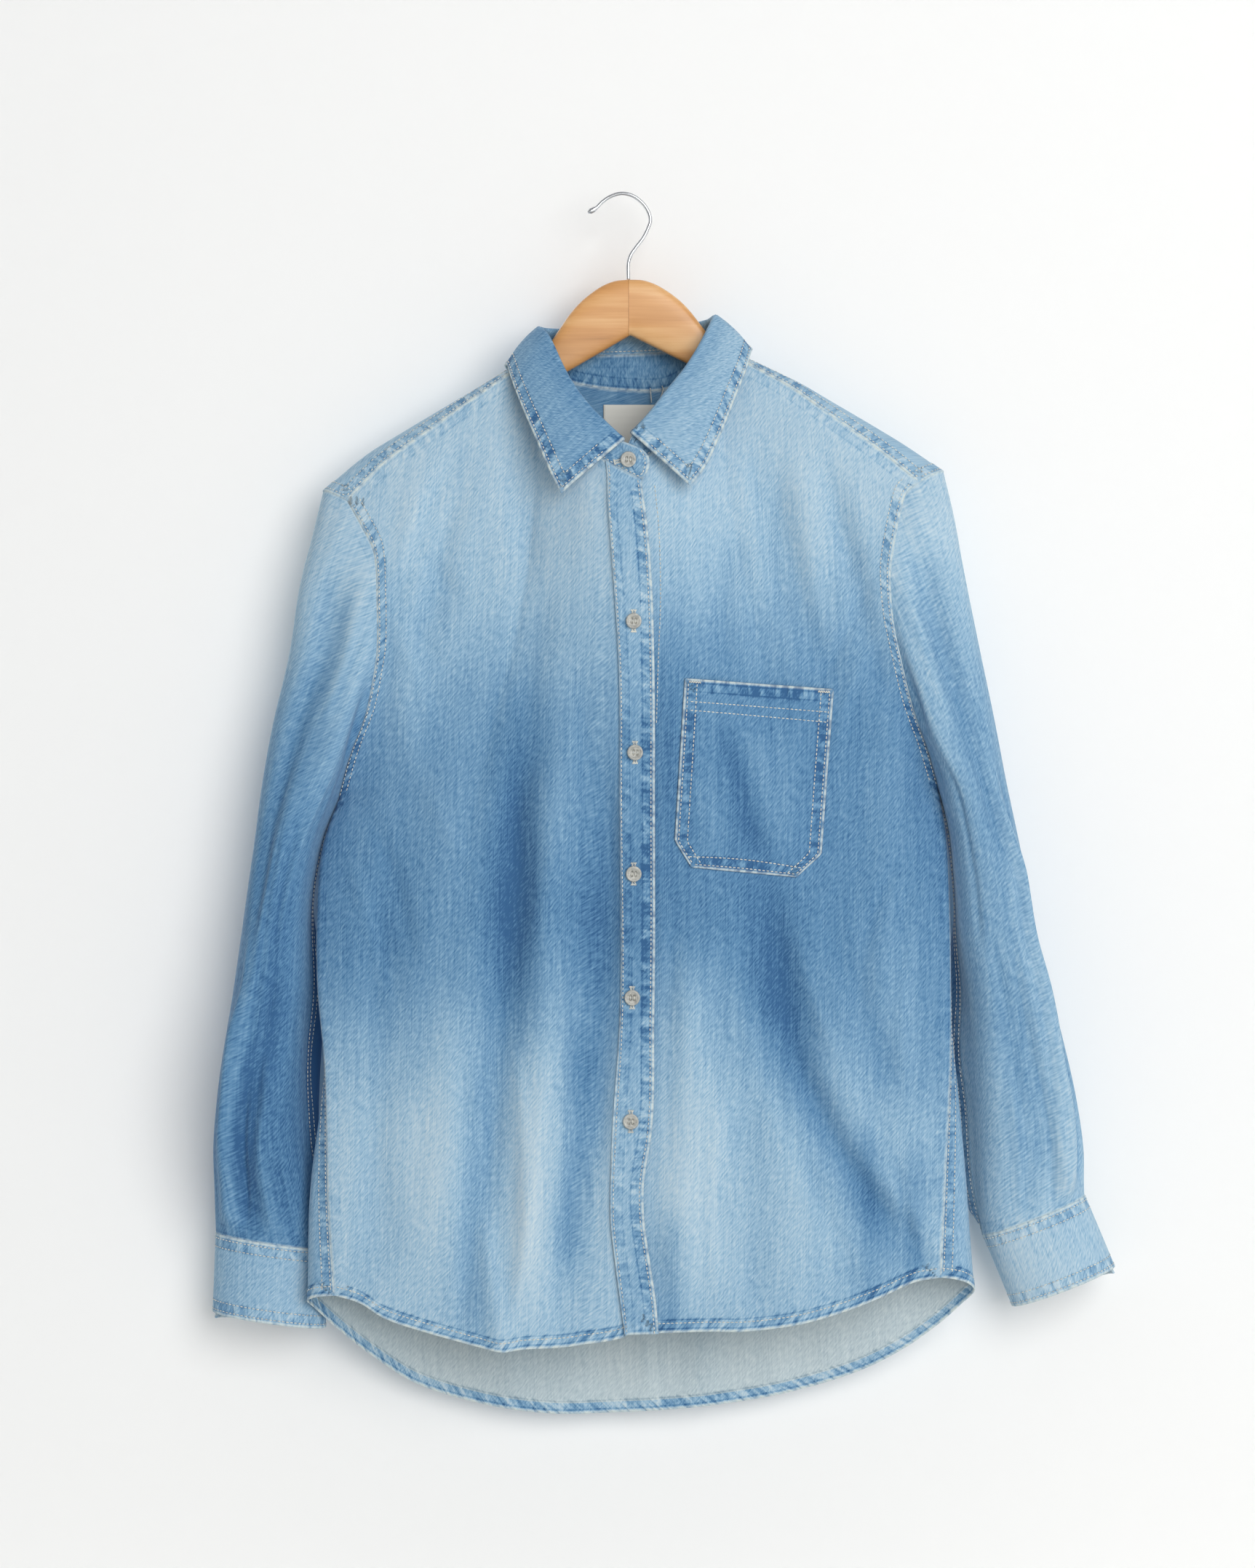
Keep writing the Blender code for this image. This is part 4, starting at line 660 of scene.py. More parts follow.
thread = clouded("spun polyester-cotton thread", "#D2D1C6", {"Scale": 260.0, "Detail": 2.0},
                 ((0.35, "#B4BABA"), (0.6, "#E2E0D4")), Roughness=0.7, Sheen_Weight=0.2)
horn = clouded("cast polyester, horn grey", "#A9A9A3",
               {"Scale": 240.0, "Detail": 3.0, "Distortion": 1.0},
               ((0.3, "#8F908C"), (0.7, "#C4C3BB")), Roughness=0.34, Coat_Weight=0.25,
               Coat_Roughness=0.2)
satin, beech, chrome = woven_satin(), lacquered_beech(), plated_wire()
print("finishes:", len(bpy.data.materials))

# %% [markdown]
# ## Sewing
# A seam is seen by its stitches: short dashes of thread, 3.1 mm from one to the next, that sink in
# at both ends. There are thousands of them, so each is a spindle with thirty faces, and all those
# of one piece of cloth are a single mesh.

# %% Stitches
PITCH = 3.1                 # mm from stitch to stitch
STITCH = (2.4, 0.46)        # length and radius of what shows
STITCH_OUT = 0.12           # how far its middle stands out of the cloth
SPINDLE = ((0.62, 0.75), (0.0, 1.0), (-0.62, 0.75))   # a and r of its rings
SPINDLE_SIDES = 5


def angles_round(count):
    """This many even angles round a circle."""
    return 2 * np.pi * np.arange(count) / count


def tube_faces(rings, sides):
    """Quads round a tube and the fans that shut its two ends on their poles."""
    k = np.arange(sides)
    after = (k + 1) % sides
    ring = np.arange(rings - 1)[:, None] * sides
    quads = np.stack(np.broadcast_arrays(ring + k, ring + after, ring + sides + after,
                                         ring + sides + k), -1).reshape(-1, 4)
    last, pole = (rings - 1) * sides, np.full(sides, rings * sides)
    return quads, np.concatenate([np.stack([pole, after, k], -1),
                                  np.stack([pole + 1, last + k, last + after], -1)])


def spindles(name, places, along, out, half=STITCH[0] / 2, radius=STITCH[1]):
    """c + a h t + r (cos f s + sin f n): rings of radius r round each stitch's line t, with a
    pole at each end. s lies across the stitch, and n points out of the cloth."""
    turns = angles_round(SPINDLE_SIDES)[None, :, None]
    ring = np.cos(turns) * unit(np.cross(along, out))[:, None] + 0.8 * np.sin(turns) * out[:, None]
    middle, line = places[:, None], along[:, None] * half
    points = np.concatenate([middle + line * a + ring * radius * r for a, r in SPINDLE]
                            + [middle + line, middle - line], axis=1)
    start = (np.arange(len(places)) * points.shape[1])[:, None, None]
    quads, tris = (faces + start for faces in tube_faces(len(SPINDLE), SPINDLE_SIDES))
    return add_mesh(name, points.reshape(-1, 3), quads.reshape(-1, 4), [thread],
                    tris.reshape(-1, 3))


def stitched(sheet, r, c, closed=False, ends=(2, 2)):
    """Places, directions and normals of the stitches along a line of rows and columns."""
    line, up = sampled(sheet, r, c), sampled(normals(sheet, closed), r, c)
    run = runs(line)
    at = np.arange(ends[0] + PITCH / 2, run[-1] - ends[1], PITCH)
    place, out, ahead, behind = (
        np.stack([np.interp(spot, run, part[:, k]) for k in range(3)], -1)
        for part, spot in ((line, at), (up, at), (line, at + 0.5), (line, at - 0.5)))
    return np.stack([place + unit(out) * STITCH_OUT, unit(ahead - behind), unit(out)])


def rows_of(sheet, *asked, closed=False):
    """Rows of stitches: each item says along which edges, how far inside them, and how far the
    rows stop short of the edges' ends."""
    return [stitched(sheet, *line_inside(sheet, edge, distance), closed, ends)
            for edges, distances, ends in asked for edge in edges.split()
            for distance in distances]


def row_through(sheet, *route):
    """A row of stitches through these x and z of a sheet."""
    path = smooth([(x, 0, z) for x, z in route], np.linspace(0, 1, 60))
    return stitched(sheet, *places_on(sheet, path[:, 0], path[:, 2]))


def tack(sheet, start, end, gap=0.75):
    """A bar tack from one x, z to another: threads across it, side by side."""
    start, end = np.array(start, float), np.array(end, float)
    at = np.linspace(start, end, int(np.linalg.norm(end - start) / gap))
    r, c = places_on(sheet, at[:, 0], at[:, 1])
    out = unit(sampled(normals(sheet), r, c))
    line = np.array([end[0] - start[0], 0, end[1] - start[1]])
    across = unit(np.cross(np.broadcast_to(unit(line), out.shape), out))
    lean = unit(across + unit(line) * 0.35 * np.where(np.arange(len(at)) % 2, 1, -1)[:, None])
    return np.stack([sampled(sheet, r, c) + out * 0.35, lean, out])


def sew(name, rows, **size):
    """All the stitches of these rows as one mesh."""
    stitches = np.concatenate(rows, axis=1)
    print(name, "has", stitches.shape[1], "stitches")
    return spindles(f"thread_{name}", *stitches, **size)


def raised(sheet, edges, height=0.45, wide=9.6, closed=False):
    """Where a seam is felled, four layers lie under its rows: the sheet rises by h there, in a
    strip that ends softly."""
    lift = np.zeros(sheet.shape[:2])
    for edge in edges:
        distance, _ = from_edge(sheet, edge)
        lift = np.maximum(lift, height * ramp((wide + 1.0 - distance) / 2.0))
    return sheet + normals(sheet, closed) * lift[..., None]


# %% [markdown]
# ## Fronts
# Each front hangs from the neck and shoulder seam to the hem, and from the front edge round to
# the side seam. The folds that hang from the shoulders are listed one by one, each through three
# points. The wash pales the chest and the lower front, and leaves a blue belt between them.

# %% Fronts
# A front's even cells: down to the hem, beside the armhole, across, and along the neck seam
CELLS_DOWN, ARM_CELLS, CELLS_ACROSS, NECK_CELLS = 24, 10, 13, 6
ARM_PART, NECK_PART = ARM_CELLS / CELLS_DOWN, NECK_CELLS / CELLS_ACROSS
NECK_SHARES = [0.0, 0.21, 0.37, 0.53, 0.69, 0.85, 1.0]    # of the neck line, cell by cell
# The front band: z, x of its sewn side, x of its folded edge
PLACKET = [(-212.5, -10, 14.5), (-246, -7.4, 18.9), (-289, -4.2, 22.2), (-340, -1, 23.8),
           (-445, 0, 24.3), (-603, 0, 23.8), (-687, -5.5, 21.7), (-722, -6.8, 16.4),
           (-745, -7, 16.4), (-779, -3.5, 20.8), (-809, 0.5, 25.2), (-831, 3.5, 26.9)]
FRONT_DEPTH = -50.0         # y of the outer side along the middle of the front
LAP = 4.2                   # how much further in the left front lies where it goes under
LAP_UNDER = 26.0            # how far it goes under
PLACKET_EDGE = 0.8          # how far the band reaches past the front's own edge
# Soft folds: x, z at the top, middle and bottom; half width; height, - is a trough
FRONT_FOLDS = [
    (-57, -320, -81, -552, -98, -780, 15, -6.0),
    (-45, -360, -56, -560, -64, -800, 14, 5.0),
    (-24, -330, -20, -499, -36, -800, 12, -5.5),
    (-112, -165, -124, -240, -142, -325, 13, -4.5),
    (-80, -160, -76, -210, -68, -270, 10, -3.0),
    (-150, -190, -158, -300, -150, -420, 14, 3.0),
    (-128, -360, -122, -560, -130, -790, 20, 3.0),
    (-165, -460, -172, -620, -176, -790, 15, -3.5),
    (-96, -730, -92, -790, -88, -850, 8, 4.0),
    (104, -470, 125, -610, 208, -785, 19, -9.0),
    (128, -600, 165, -680, 222, -760, 12, 4.5),
    (150, -172, 168, -270, 198, -370, 13, -4.0),
    (108, -185, 122, -260, 146, -350, 13, -4.5),
    (82, -240, 76, -300, 82, -350, 11, -3.0),
    (58, -520, 50, -660, 46, -810, 18, 5.0),
    (96, -640, 92, -730, 100, -815, 15, -3.5),
    (186, -330, 196, -450, 190, -600, 16, 3.5),
    (150, -520, 178, -600, 200, -660, 13, -3.0),
]
# Smaller creases, the same way
FRONT_CREASES = [
    (-176, -262, -160, -300, -128, -352, 5, -1.6), (-178, -290, -158, -330, -140, -392, 4, 1.3),
    (-176, -240, -150, -262, -118, -300, 5, -1.4), (-140, -430, -122, -470, -96, -505, 6, 1.2),
    (-190, -440, -166, -492, -150, -560, 6, -1.6), (-206, -470, -186, -520, -168, -600, 5, 1.3),
    (-76, -600, -70, -690, -74, -812, 5, 1.8), (-52, -640, -50, -720, -46, -820, 5, -1.6),
    (-30, -560, -26, -640, -30, -760, 6, 1.4), (-112, -620, -110, -720, -112, -822, 6, -1.8),
    (196, -262, 178, -300, 150, -356, 5, -1.6), (198, -300, 176, -346, 160, -410, 5, 1.4),
    (204, -246, 182, -262, 148, -292, 5, -1.3), (214, -470, 190, -520, 172, -600, 6, -1.5),
    (226, -480, 212, -560, 204, -660, 6, 1.6), (118, -520, 146, -600, 190, -700, 6, 1.6),
    (88, -560, 110, -640, 150, -740, 6, -1.4), (70, -640, 68, -720, 70, -810, 5, 1.3),
    (136, -700, 150, -750, 176, -800, 6, -1.8), (40, -520, 36, -600, 38, -700, 6, -1.4),
    (147, -150, 160, -240, 182, -320, 8, -2.4), (97, -170, 106, -246, 124, -320, 8, -2.2),
    (120, -160, 135, -240, 150, -330, 9, 2.2), (172, -190, 182, -260, 196, -330, 6, 1.8),
    (-112, -158, -135, -228, -164, -306, 8, -2.6), (-140, -160, -150, -220, -172, -290, 8, 1.8),
    (-167, -190, -168, -226, -171, -262, 4, -1.5), (-50, -280, -60, -326, -67, -390, 10, -2.0),
    (-50, -600, -58, -720, -84, -846, 9, 2.6), (-24, -590, -30, -690, -40, -780, 9, -2.6),
    (-78, -640, -98, -716, -90, -810, 9, -2.4), (106, -545, 140, -655, 212, -772, 12, -2.4),
    (196, -700, 206, -735, 216, -770, 4, -1.6), (140, -770, 152, -782, 168, -796, 4, -1.2),
]
# How pale the wash left the cloth: z, near the front edge, near the side
WASH_FRONT = {
    "right": [(-110, .70, .74), (-260, .68, .70), (-300, .62, .62), (-340, .52, .53),
              (-400, .40, .34), (-460, .34, .28), (-540, .27, .24), (-585, .38, .34),
              (-650, .60, .62), (-700, .70, .70), (-780, .72, .66), (-860, .60, .66)],
    "left": [(-110, .66, .72), (-245, .68, .70), (-285, .60, .60), (-325, .38, .48),
             (-365, .27, .30), (-450, .24, .24), (-540, .26, .26), (-580, .42, .30),
             (-620, .56, .35), (-690, .70, .52), (-750, .68, .60), (-831, .58, .56)],
}
# Painted fold shading on top of that: long soft strips placed as folds are, mostly painted shade in
# fold valleys and where the cloth dips behind the band; - is darker, + paler
PAINTED_FOLD_SHADES = [
    (-70, -300, -71, -450, -70, -620, 24, -.15), (-90, -600, -108, -706, -100, -850, 18, -.20),
    (-24, -590, -32, -700, -38, -790, 13, -.24), (104, -530, 136, -650, 208, -772, 22, -.09),
    (60, -640, 68, -720, 78, -830, 20, .04), (40, -250, 38, -330, 36, -470, 10, -.05),
    (176, -660, 180, -740, 182, -830, 12, -.18), (-175, -250, -172, -290, -160, -360, 14, -.08),
    (214, -680, 216, -750, 218, -830, 10, -.22), (37, -730, 36, -780, 36, -840, 12, -.20),
]


def neck_share(cells):
    """The share of the neck line that so many cells take."""
    return np.interp(cells, np.arange(NECK_CELLS + 1), NECK_SHARES)


def front_sheet(side, u, v):
    """The patch between the front edge, the side, the neck with the shoulder, and the hem. Across
    goes as 1 - (1 - u)^1.5, and the depth turns back at the side as 1 - sqrt(1 - across^2.5)."""
    across = 1 - (1 - u) ** 1.5
    depth = 1 - np.sqrt(np.clip(1 - across**2.5, 0, 1))
    hem, corner = smooth(HEM_FRONT[side], across), np.array(NECK_FRONT[side][0])
    neck = u <= NECK_PART
    top = np.concatenate([
        smooth(NECK_FRONT[side], neck_share(u[neck] * CELLS_ACROSS)),
        smooth(SHOULDER[side], (u[~neck] - NECK_PART) / (1 - NECK_PART))])
    z = corner[2] + (HEM_FRONT[side][0][2] - corner[2]) * v
    under = 0 if side == "right" else 1
    x = column(PLACKET, 2, z) - LAP_UNDER * under
    middle = np.stack([x, np.full_like(x, FRONT_DEPTH + LAP * under), z], -1)
    for share, end, at in ((v, corner, 0), (1 - v, HEM_FRONT[side][0], -1)):
        middle += np.maximum(0, 1 - CELLS_DOWN * share)[:, None] * (end - middle[at])
    edge = followed(ARM_FRONT[side], SIDE[side], ARM_PART, v)
    sheet = patch(middle, edge, top, hem, across, depth, v, hold=(2, 3))
    x, z, plain = sheet[..., 0], sheet[..., 2], sheet.copy()
    height = (fold_height(x, z, FRONT_FOLDS) + fold_height(x, z, FRONT_CREASES)
              + 0.7 * waves(x, z, 3 + under, 9.0) + 0.9 * waves(x, z, 5 + under, 21.0))
    # Folds die away at the front band, at the side seam and under the neck seam.
    height *= ramp((x - column(PLACKET, 1 + under, z)) * sign(side) / 16)
    height *= ramp(np.minimum(1, (1 - u) / 0.18)[None] * np.minimum(1, v * 8)[:, None])
    sheet[..., 1] -= height
    if side == "right":
        # The line one cell inside the edge is the band's sewn side, so it follows the band.
        hat = np.maximum(0, 1 - np.abs(u * CELLS_ACROSS - 1))
        held = np.minimum(1, v * CELLS_DOWN)[:, None]
        sheet[..., 0] += hat * (column(PLACKET, 1, z) - sheet[..., 0]) * held
    return sheet, height, plain


def wash_of(table, z, share, seed, x):
    """The wash's table, blended from its first to its second column by share, with a drift."""
    pale = column(table, 1, z) * (1 - share) + column(table, 2, z) * share
    return pale + 0.03 * waves(x, z, seed, 34.0)


def faced(side, *grids):
    """Grids with their columns turned round on the left side, so that normals point outwards."""
    return [grid if side == "right" else grid[:, ::-1] for grid in grids]


# The edge with a front's side seam, and with the back of a sleeve's seam
OUTER = {"right": "last", "left": "first"}

fronts = {}
for side in SIDES:
    across = spaced(230, first=(1.2, 2.6, 4.2, 6.0, 8.2), last=(0.4, 1.0, 1.8, 2.8, 4.2, 6.0, 8.2))
    v = spaced(640)
    sheet, height, plain = front_sheet(side, 1 - (1 - across) ** (1 / 1.5), v)
    pale = wash_of(WASH_FRONT[side], sheet[..., 2], across[None], 11, sheet[..., 0])
    # Paler on fold ridges and darker in fold hollows, partly the wash's wear and partly painted
    # shade, and then the painted fold shading
    pale = pale + 0.022 * height + fold_height(sheet[..., 0], sheet[..., 2], PAINTED_FOLD_SHADES)
    sheet, pale, plain = faced(side, sheet, pale, plain)
    fronts[side] = raised(sheet, ["bottom", OUTER[side]], wide=HEM_DEPTH - 1)
    # Below the armhole only the edge is worn, because the seam's strip lies on the back.
    beside = 1.05 - 0.5 * ramp((v - ARM_PART) / 0.05)[:, None]
    cloth(f"front_{side}", fronts[side], CLOTH, [denim, lining],
          [("top", 0.7), ("bottom", 1.15), (OUTER[side], beside)], pale, hem="bottom",
          plane=True, flat=plain, straight=0 if side == "right" else -1)

# %% [markdown]
# ## Back and yoke
# The back hangs from the yoke seam and comes round past the sides. The yoke is a double layer that
# goes over the shoulders from the back to the front, so its columns run round like a fan.

# %% Back
YOKE_SPAN = 20 / 28         # the share of the yoke's outer line that is the back seam
# How far the back bulges past the sides: share down the side, at the right, at the left
SIDE_WRAP = [(0.0, 0, 0), (0.3, 0, 3), (0.45, 5, 13), (0.6, 17, 22), (0.75, 25, 29), (1.0, 29, 34)]
WRAP_AT = 0.045             # share across the back where that bulge is widest
BACK_DEPTH = 17.0           # the back's y at its middle
# Soft folds: x, z at the top, middle and bottom; half width; height, - is a trough
BACK_FOLDS = [
    (-120, -260, -128, -520, -118, -860, 18, 6.0),
    (-60, -250, -66, -540, -78, -880, 16, -6.0),
    (0, -250, 6, -560, -10, -880, 20, 6.0),
    (64, -250, 72, -520, 60, -880, 15, -6.5),
    (126, -250, 120, -520, 136, -860, 18, 6.0),
    (-170, -330, -168, -520, -180, -820, 14, -4.0),
    (176, -300, 184, -520, 196, -800, 14, -4.0),
]
BACK_CREASES = [
    (-150, -300, -120, -380, -90, -470, 7, 1.8), (150, -300, 118, -380, 96, -470, 7, 1.8),
    (-40, -280, -34, -420, -44, -600, 8, -1.6), (38, -280, 40, -430, 30, -620, 8, 1.5),
    (-20, -560, -26, -700, -14, -860, 7, 1.8), (92, -600, 100, -720, 92, -860, 7, -1.8),
    (-92, -600, -98, -740, -90, -870, 7, 1.6), (150, -640, 156, -740, 166, -840, 7, 1.6),
    (-150, -620, -152, -730, -160, -830, 7, -1.6), (20, -660, 16, -760, 22, -880, 6, -1.5),
]
# The same for the back: z, in its middle, at its sides
WASH_BACK = [(-110, .72, .72), (-270, .68, .68), (-330, .52, .52), (-400, .36, .36),
             (-530, .27, .27), (-600, .44, .32), (-660, .64, .38), (-730, .72, .40),
             (-900, .64, .42)]


def eased(t):
    """Shares that lie closer together towards both ends."""
    return 0.35 * t + 0.65 * (1 - np.cos(np.pi * t)) / 2


def back_sheet(t, v):
    """The patch between the armhole with the side on the right, the same on the left, the yoke
    seam and the hem, swollen to the back's depth by sqrt(1 - |2a - 1|^3)."""
    across = eased(t)
    right, left = (followed(ARM_BACK[side], SIDE[side], ARM_PART, v) for side in SIDES)
    swell = np.zeros((len(v), len(t), 3))
    round_out = np.sqrt(1 - np.abs(2 * across - 1) ** 3)
    swell[..., 1] = (BACK_DEPTH - (right[:, 1] + left[:, 1]) / 2)[:, None] * round_out[None]
    down = np.clip((v - ARM_PART) / (1 - ARM_PART), 0, 1)
    bulge = [(a / WRAP_AT) * np.exp(1 - a / WRAP_AT) for a in (1 - across, across)]
    swell[..., 0] = (column(SIDE_WRAP, 2, down)[:, None] * bulge[0][None]
                     - column(SIDE_WRAP, 1, down)[:, None] * bulge[1][None])
    sheet = patch(right, left, smooth(YOKE_SEAM, across), smooth(HEM_BACK, across), across,
                  across, v, swell, hold=(1, 3))
    x, z, plain = sheet[..., 0], sheet[..., 2], sheet.copy()
    height = (fold_height(x, z, BACK_FOLDS) + fold_height(x, z, BACK_CREASES)
              + 0.9 * waves(x, z, 8, 13.0) + 0.8 * waves(x, z, 9, 26.0))
    height *= ramp(np.minimum(across, 1 - across) / 0.16)[None] * ramp(v * 6)[:, None]
    sheet[..., 1] += height
    return sheet, height, plain


share = spaced(500, step=2.9)
even = np.linspace(0, 1, 401)
t = np.interp(share, eased(even), even)
back, height, plain = back_sheet(t, spaced(640, step=2.9))
pale = wash_of(WASH_BACK, back[..., 2], np.abs(2 * share - 1) ** 8, 12, back[..., 0])
back = raised(back, ["bottom", "first", "last"], wide=HEM_DEPTH)
# Paler on fold ridges and darker in fold hollows: partly the wash's wear, partly painted shade
cloth("back", back, CLOTH, [denim, lining], zip(EDGES, (0.6, 1.15, 1.0, 1.0)),
      pale + 0.02 * height, hem="bottom", plane=True, flat=plain, straight=len(t) // 2)


# %% Yoke
def yoke_sheet(t, v):
    """The patch from the neck seam out to the armhole ends and the back's seam, between the two
    shoulder seams."""
    end = (1 - YOKE_SPAN) / 2
    low, mid, high = t < end, (t >= end) & (t <= 1 - end), t > 1 - end
    outer = np.concatenate([smooth(ARM_END["right"], t[low] / end),
                            smooth(YOKE_SEAM, eased((t[mid] - end) / YOKE_SPAN)),
                            smooth(ARM_END["left"], (1 - t[high]) / end)])
    sides = [smooth(SHOULDER[side], v) for side in SIDES]
    sheet = patch(*sides, smooth(NECK_BACK, t), outer, t, t, v)
    sheet[..., 1] += 0.35 * waves(sheet[..., 0], sheet[..., 2], 15, 14.0) * ramp(v * 5)[:, None]
    return sheet


yoke = raised(yoke_sheet(spaced(640, step=3.0), spaced(120)), ["bottom", "first", "last"])
pale = 0.66 + 0.05 * waves(yoke[..., 0], yoke[..., 2], 16, 25.0)
cloth("yoke", yoke, DOUBLE, [denim], zip(EDGES, (0.5, 0.95, 1.15, 1.15)), pale, plane=True,
      wash_inside=0.32)

# %% [markdown]
# ## Sleeves and cuffs
# A sleeve is one piece, closed under the arm. It is set into the armhole at the top, gathered into
# the cuff at the bottom, and hangs in long folds between.

# %% Sleeves
# Level sections: z, x of the outer side, x of the inner side in front and behind, y of the front
# and of the back
SLEEVE = {
    "right": [(-218, -219, -200, -200, -12, 10), (-250, -226, -187, -190, -28, 17),
              (-285, -234.6, -179, -184, -33, 21), (-338, -242.5, -179, -184, -37, 24),
              (-392, -254.8, -192, -190, -40, 26), (-445, -263.8, -214, -201, -42, 27),
              (-470, -267, -223, -212, -43, 28), (-498, -271, -228.5, -219, -44, 28),
              (-583, -283.3, -234, -222, -45, 29), (-660, -295.4, -238, -224, -43, 30),
              (-700, -299, -238, -223, -38, 31), (-735, -299, -231, -219, -28, 33),
              (-790, -299, -222, -212, -24, 33)],
    "left": [(-203, 239, 219, 219, -12, 10), (-236, 246, 206, 209, -28, 17),
             (-272, 252.5, 199, 203, -33, 21), (-330, 263.7, 204, 207, -37, 24),
             (-385, 274.5, 221, 218, -40, 26), (-437, 284, 241, 228, -42, 27),
             (-465, 290, 246, 237, -43, 28), (-498, 297, 248, 242, -44, 28),
             (-549, 306, 251, 245, -45, 28), (-583, 316, 255.7, 247, -45, 29),
             (-633, 328.5, 258, 251, -44, 30), (-668, 336, 261, 255, -42, 31),
             (-702, 341, 263.5, 258, -38, 32), (-735, 342, 265, 261, -33, 33),
             (-790, 352, 272, 270, -28, 33)],
}
SLEEVE_SQUARE = 2.4         # 2 is an ellipse, more is squarer
# Folds along a sleeve: z and angle at the top, z and angle at the bottom, half width in degrees,
# height. The angle starts at the inner side and runs round by the front.
SLEEVE_FOLDS = {
    "right": [(-235, 74, -400, 44, 16, -9.0), (-240, 104, -420, 76, 16, 4.5),
              (-240, 136, -520, 126, 14, -5.0), (-430, 84, -640, 70, 18, -4.0),
              (-560, 112, -800, 146, 13, 7.0), (-600, 88, -800, 112, 13, -5.0),
              (-300, 236, -700, 250, 20, 5.0), (-340, 300, -760, 285, 18, -5.0)],
    "left": [(-222, 74, -380, 44, 16, -9.0), (-225, 100, -420, 70, 16, 5.0),
             (-230, 132, -470, 112, 16, -6.0), (-420, 140, -760, 132, 13, 6.0),
             (-440, 162, -760, 152, 11, -5.0), (-520, 84, -760, 78, 16, -3.5),
             (-300, 236, -700, 250, 20, 5.0), (-340, 300, -740, 285, 18, -5.0)],
}
SLEEVE_CREASES = {
    "right": [(-235, 88, -330, 66, 6, -2.2), (-250, 118, -380, 104, 7, 2.0),
              (-400, 60, -560, 74, 7, 1.8), (-450, 108, -620, 98, 6, -1.8),
              (-520, 130, -700, 124, 6, 1.6), (-560, 74, -700, 92, 6, -1.8),
              (-635, 97, -800, 121, 4, -3.4), (-650, 114, -800, 138, 7, 2.4),
              (-520, 336, -760, 336, 17, 8.5), (-215, 60, -420, 34, 9, -3.0),
              (-660, 80, -775, 90, 5, 2.0), (-700, 60, -775, 66, 6, -1.8),
              (-300, 200, -520, 214, 8, 2.0), (-480, 262, -700, 270, 8, -2.0)],
    "left": [(-222, 86, -320, 62, 6, -2.2), (-230, 116, -380, 100, 7, 2.2),
             (-400, 64, -540, 60, 7, -1.6), (-470, 118, -640, 108, 6, 1.8),
             (-540, 100, -720, 96, 6, -1.6), (-560, 126, -745, 118, 5, 2.0),
             (-390, 152, -770, 141, 5, -2.8), (-390, 136, -770, 126, 7, 2.0),
             (-640, 76, -770, 72, 6, 2.2), (-620, 104, -775, 112, 4, -2.4),
             (-520, 336, -770, 336, 19, 11.0), (-215, 60, -420, 34, 9, -3.0),
             (-300, 200, -520, 214, 8, 2.0), (-480, 262, -700, 270, 8, -2.0)],
}
# How pale each sleeve is down its length: z, share. The right sleeve is set darker, partly as
# painted shade on the side away from the lamp
SLEEVE_WASH_AND_SHADE = {
    "right": [(-210, .70), (-310, .66), (-360, .48), (-410, .36), (-500, .27), (-620, .18),
              (-720, .17), (-785, .31)],
    "left": [(-200, .76), (-270, .70), (-330, .54), (-400, .45), (-520, .44), (-620, .49),
             (-705, .60), (-770, .70)],
}
# Cuffs: middle of the top edge x, y, z; half width; half depth; slope of the top edge, where
# + runs down towards the body; shift of the bottom edge in x; height
CUFF = {
    "right": (-256.4, 9, -770, 42, 25, 8.3, -2.3, 57.5),
    "left": (304.6, 4, -750.5, 40.2, 26, 21.3, 21.9, 56.4),
}
CUFF_LAP_DEGREES = 50.0     # how far the cuff's ends pass each other
CUFF_LAP_AT = 232.0         # angle of the outer end, counted as on the sleeves
CUFF_LAP_DROP = 5.0         # how much lower the inner end hangs


def squared(w, square):
    """A sine or cosine of a squarer section than a circle: its sign times |w|^(2 / square)."""
    return np.sign(w) * np.abs(w) ** (2 / square)


def arm_ring(side, s):
    """The armhole from the underarm up the front, over the top and down the back."""
    front, behind = s <= ARM_PART, s > 1 - ARM_PART
    top = ~front & ~behind
    return np.concatenate([smooth(ARM_FRONT[side], 1 - s[front] / ARM_PART),
                           smooth(ARM_END[side], (s[top] - ARM_PART) / (1 - 2 * ARM_PART)),
                           smooth(ARM_BACK[side], (s[behind] - 1 + ARM_PART) / ARM_PART)])


def cuff_frame(side):
    """The middle of a cuff's top edge, and the directions to its inner side, back and down."""
    x, y, z, _, _, slope, shift, height = CUFF[side]
    tilt = np.radians(slope)
    inner = np.array([-sign(side) * np.cos(tilt), 0, -np.sin(tilt)])
    down = np.array([shift, 0, -np.sqrt(height**2 - shift**2)]) / height
    return np.array([x, y, z], float), inner, np.array([0.0, 1.0, 0.0]), down


def cuff_ring(side, angles):
    """An ellipse m + cos(a) i w - sin(a) b d round the cuff's top edge."""
    middle, inner, backward, _ = cuff_frame(side)
    wide, deep = CUFF[side][3:5]
    return (middle + np.cos(angles)[:, None] * inner * wide
            - np.sin(angles)[:, None] * backward * deep)


def sleeve_sections(side, z, angles):
    """Level sections: ellipses squared a little, with a slanting inner side."""
    outer, front_in, back_in, front_y, back_y = (column(SLEEVE[side], k, z) for k in range(1, 6))
    deep = ((front_y + back_y) / 2
            - squared(np.sin(angles), SLEEVE_SQUARE) * (back_y - front_y) / 2)
    inner = front_in + (back_in - front_in) * (deep - front_y) / (back_y - front_y)
    wide = squared(np.cos(angles), SLEEVE_SQUARE)
    return np.stack([(outer + inner) / 2 + wide * (inner - outer) / 2, deep, z], -1)


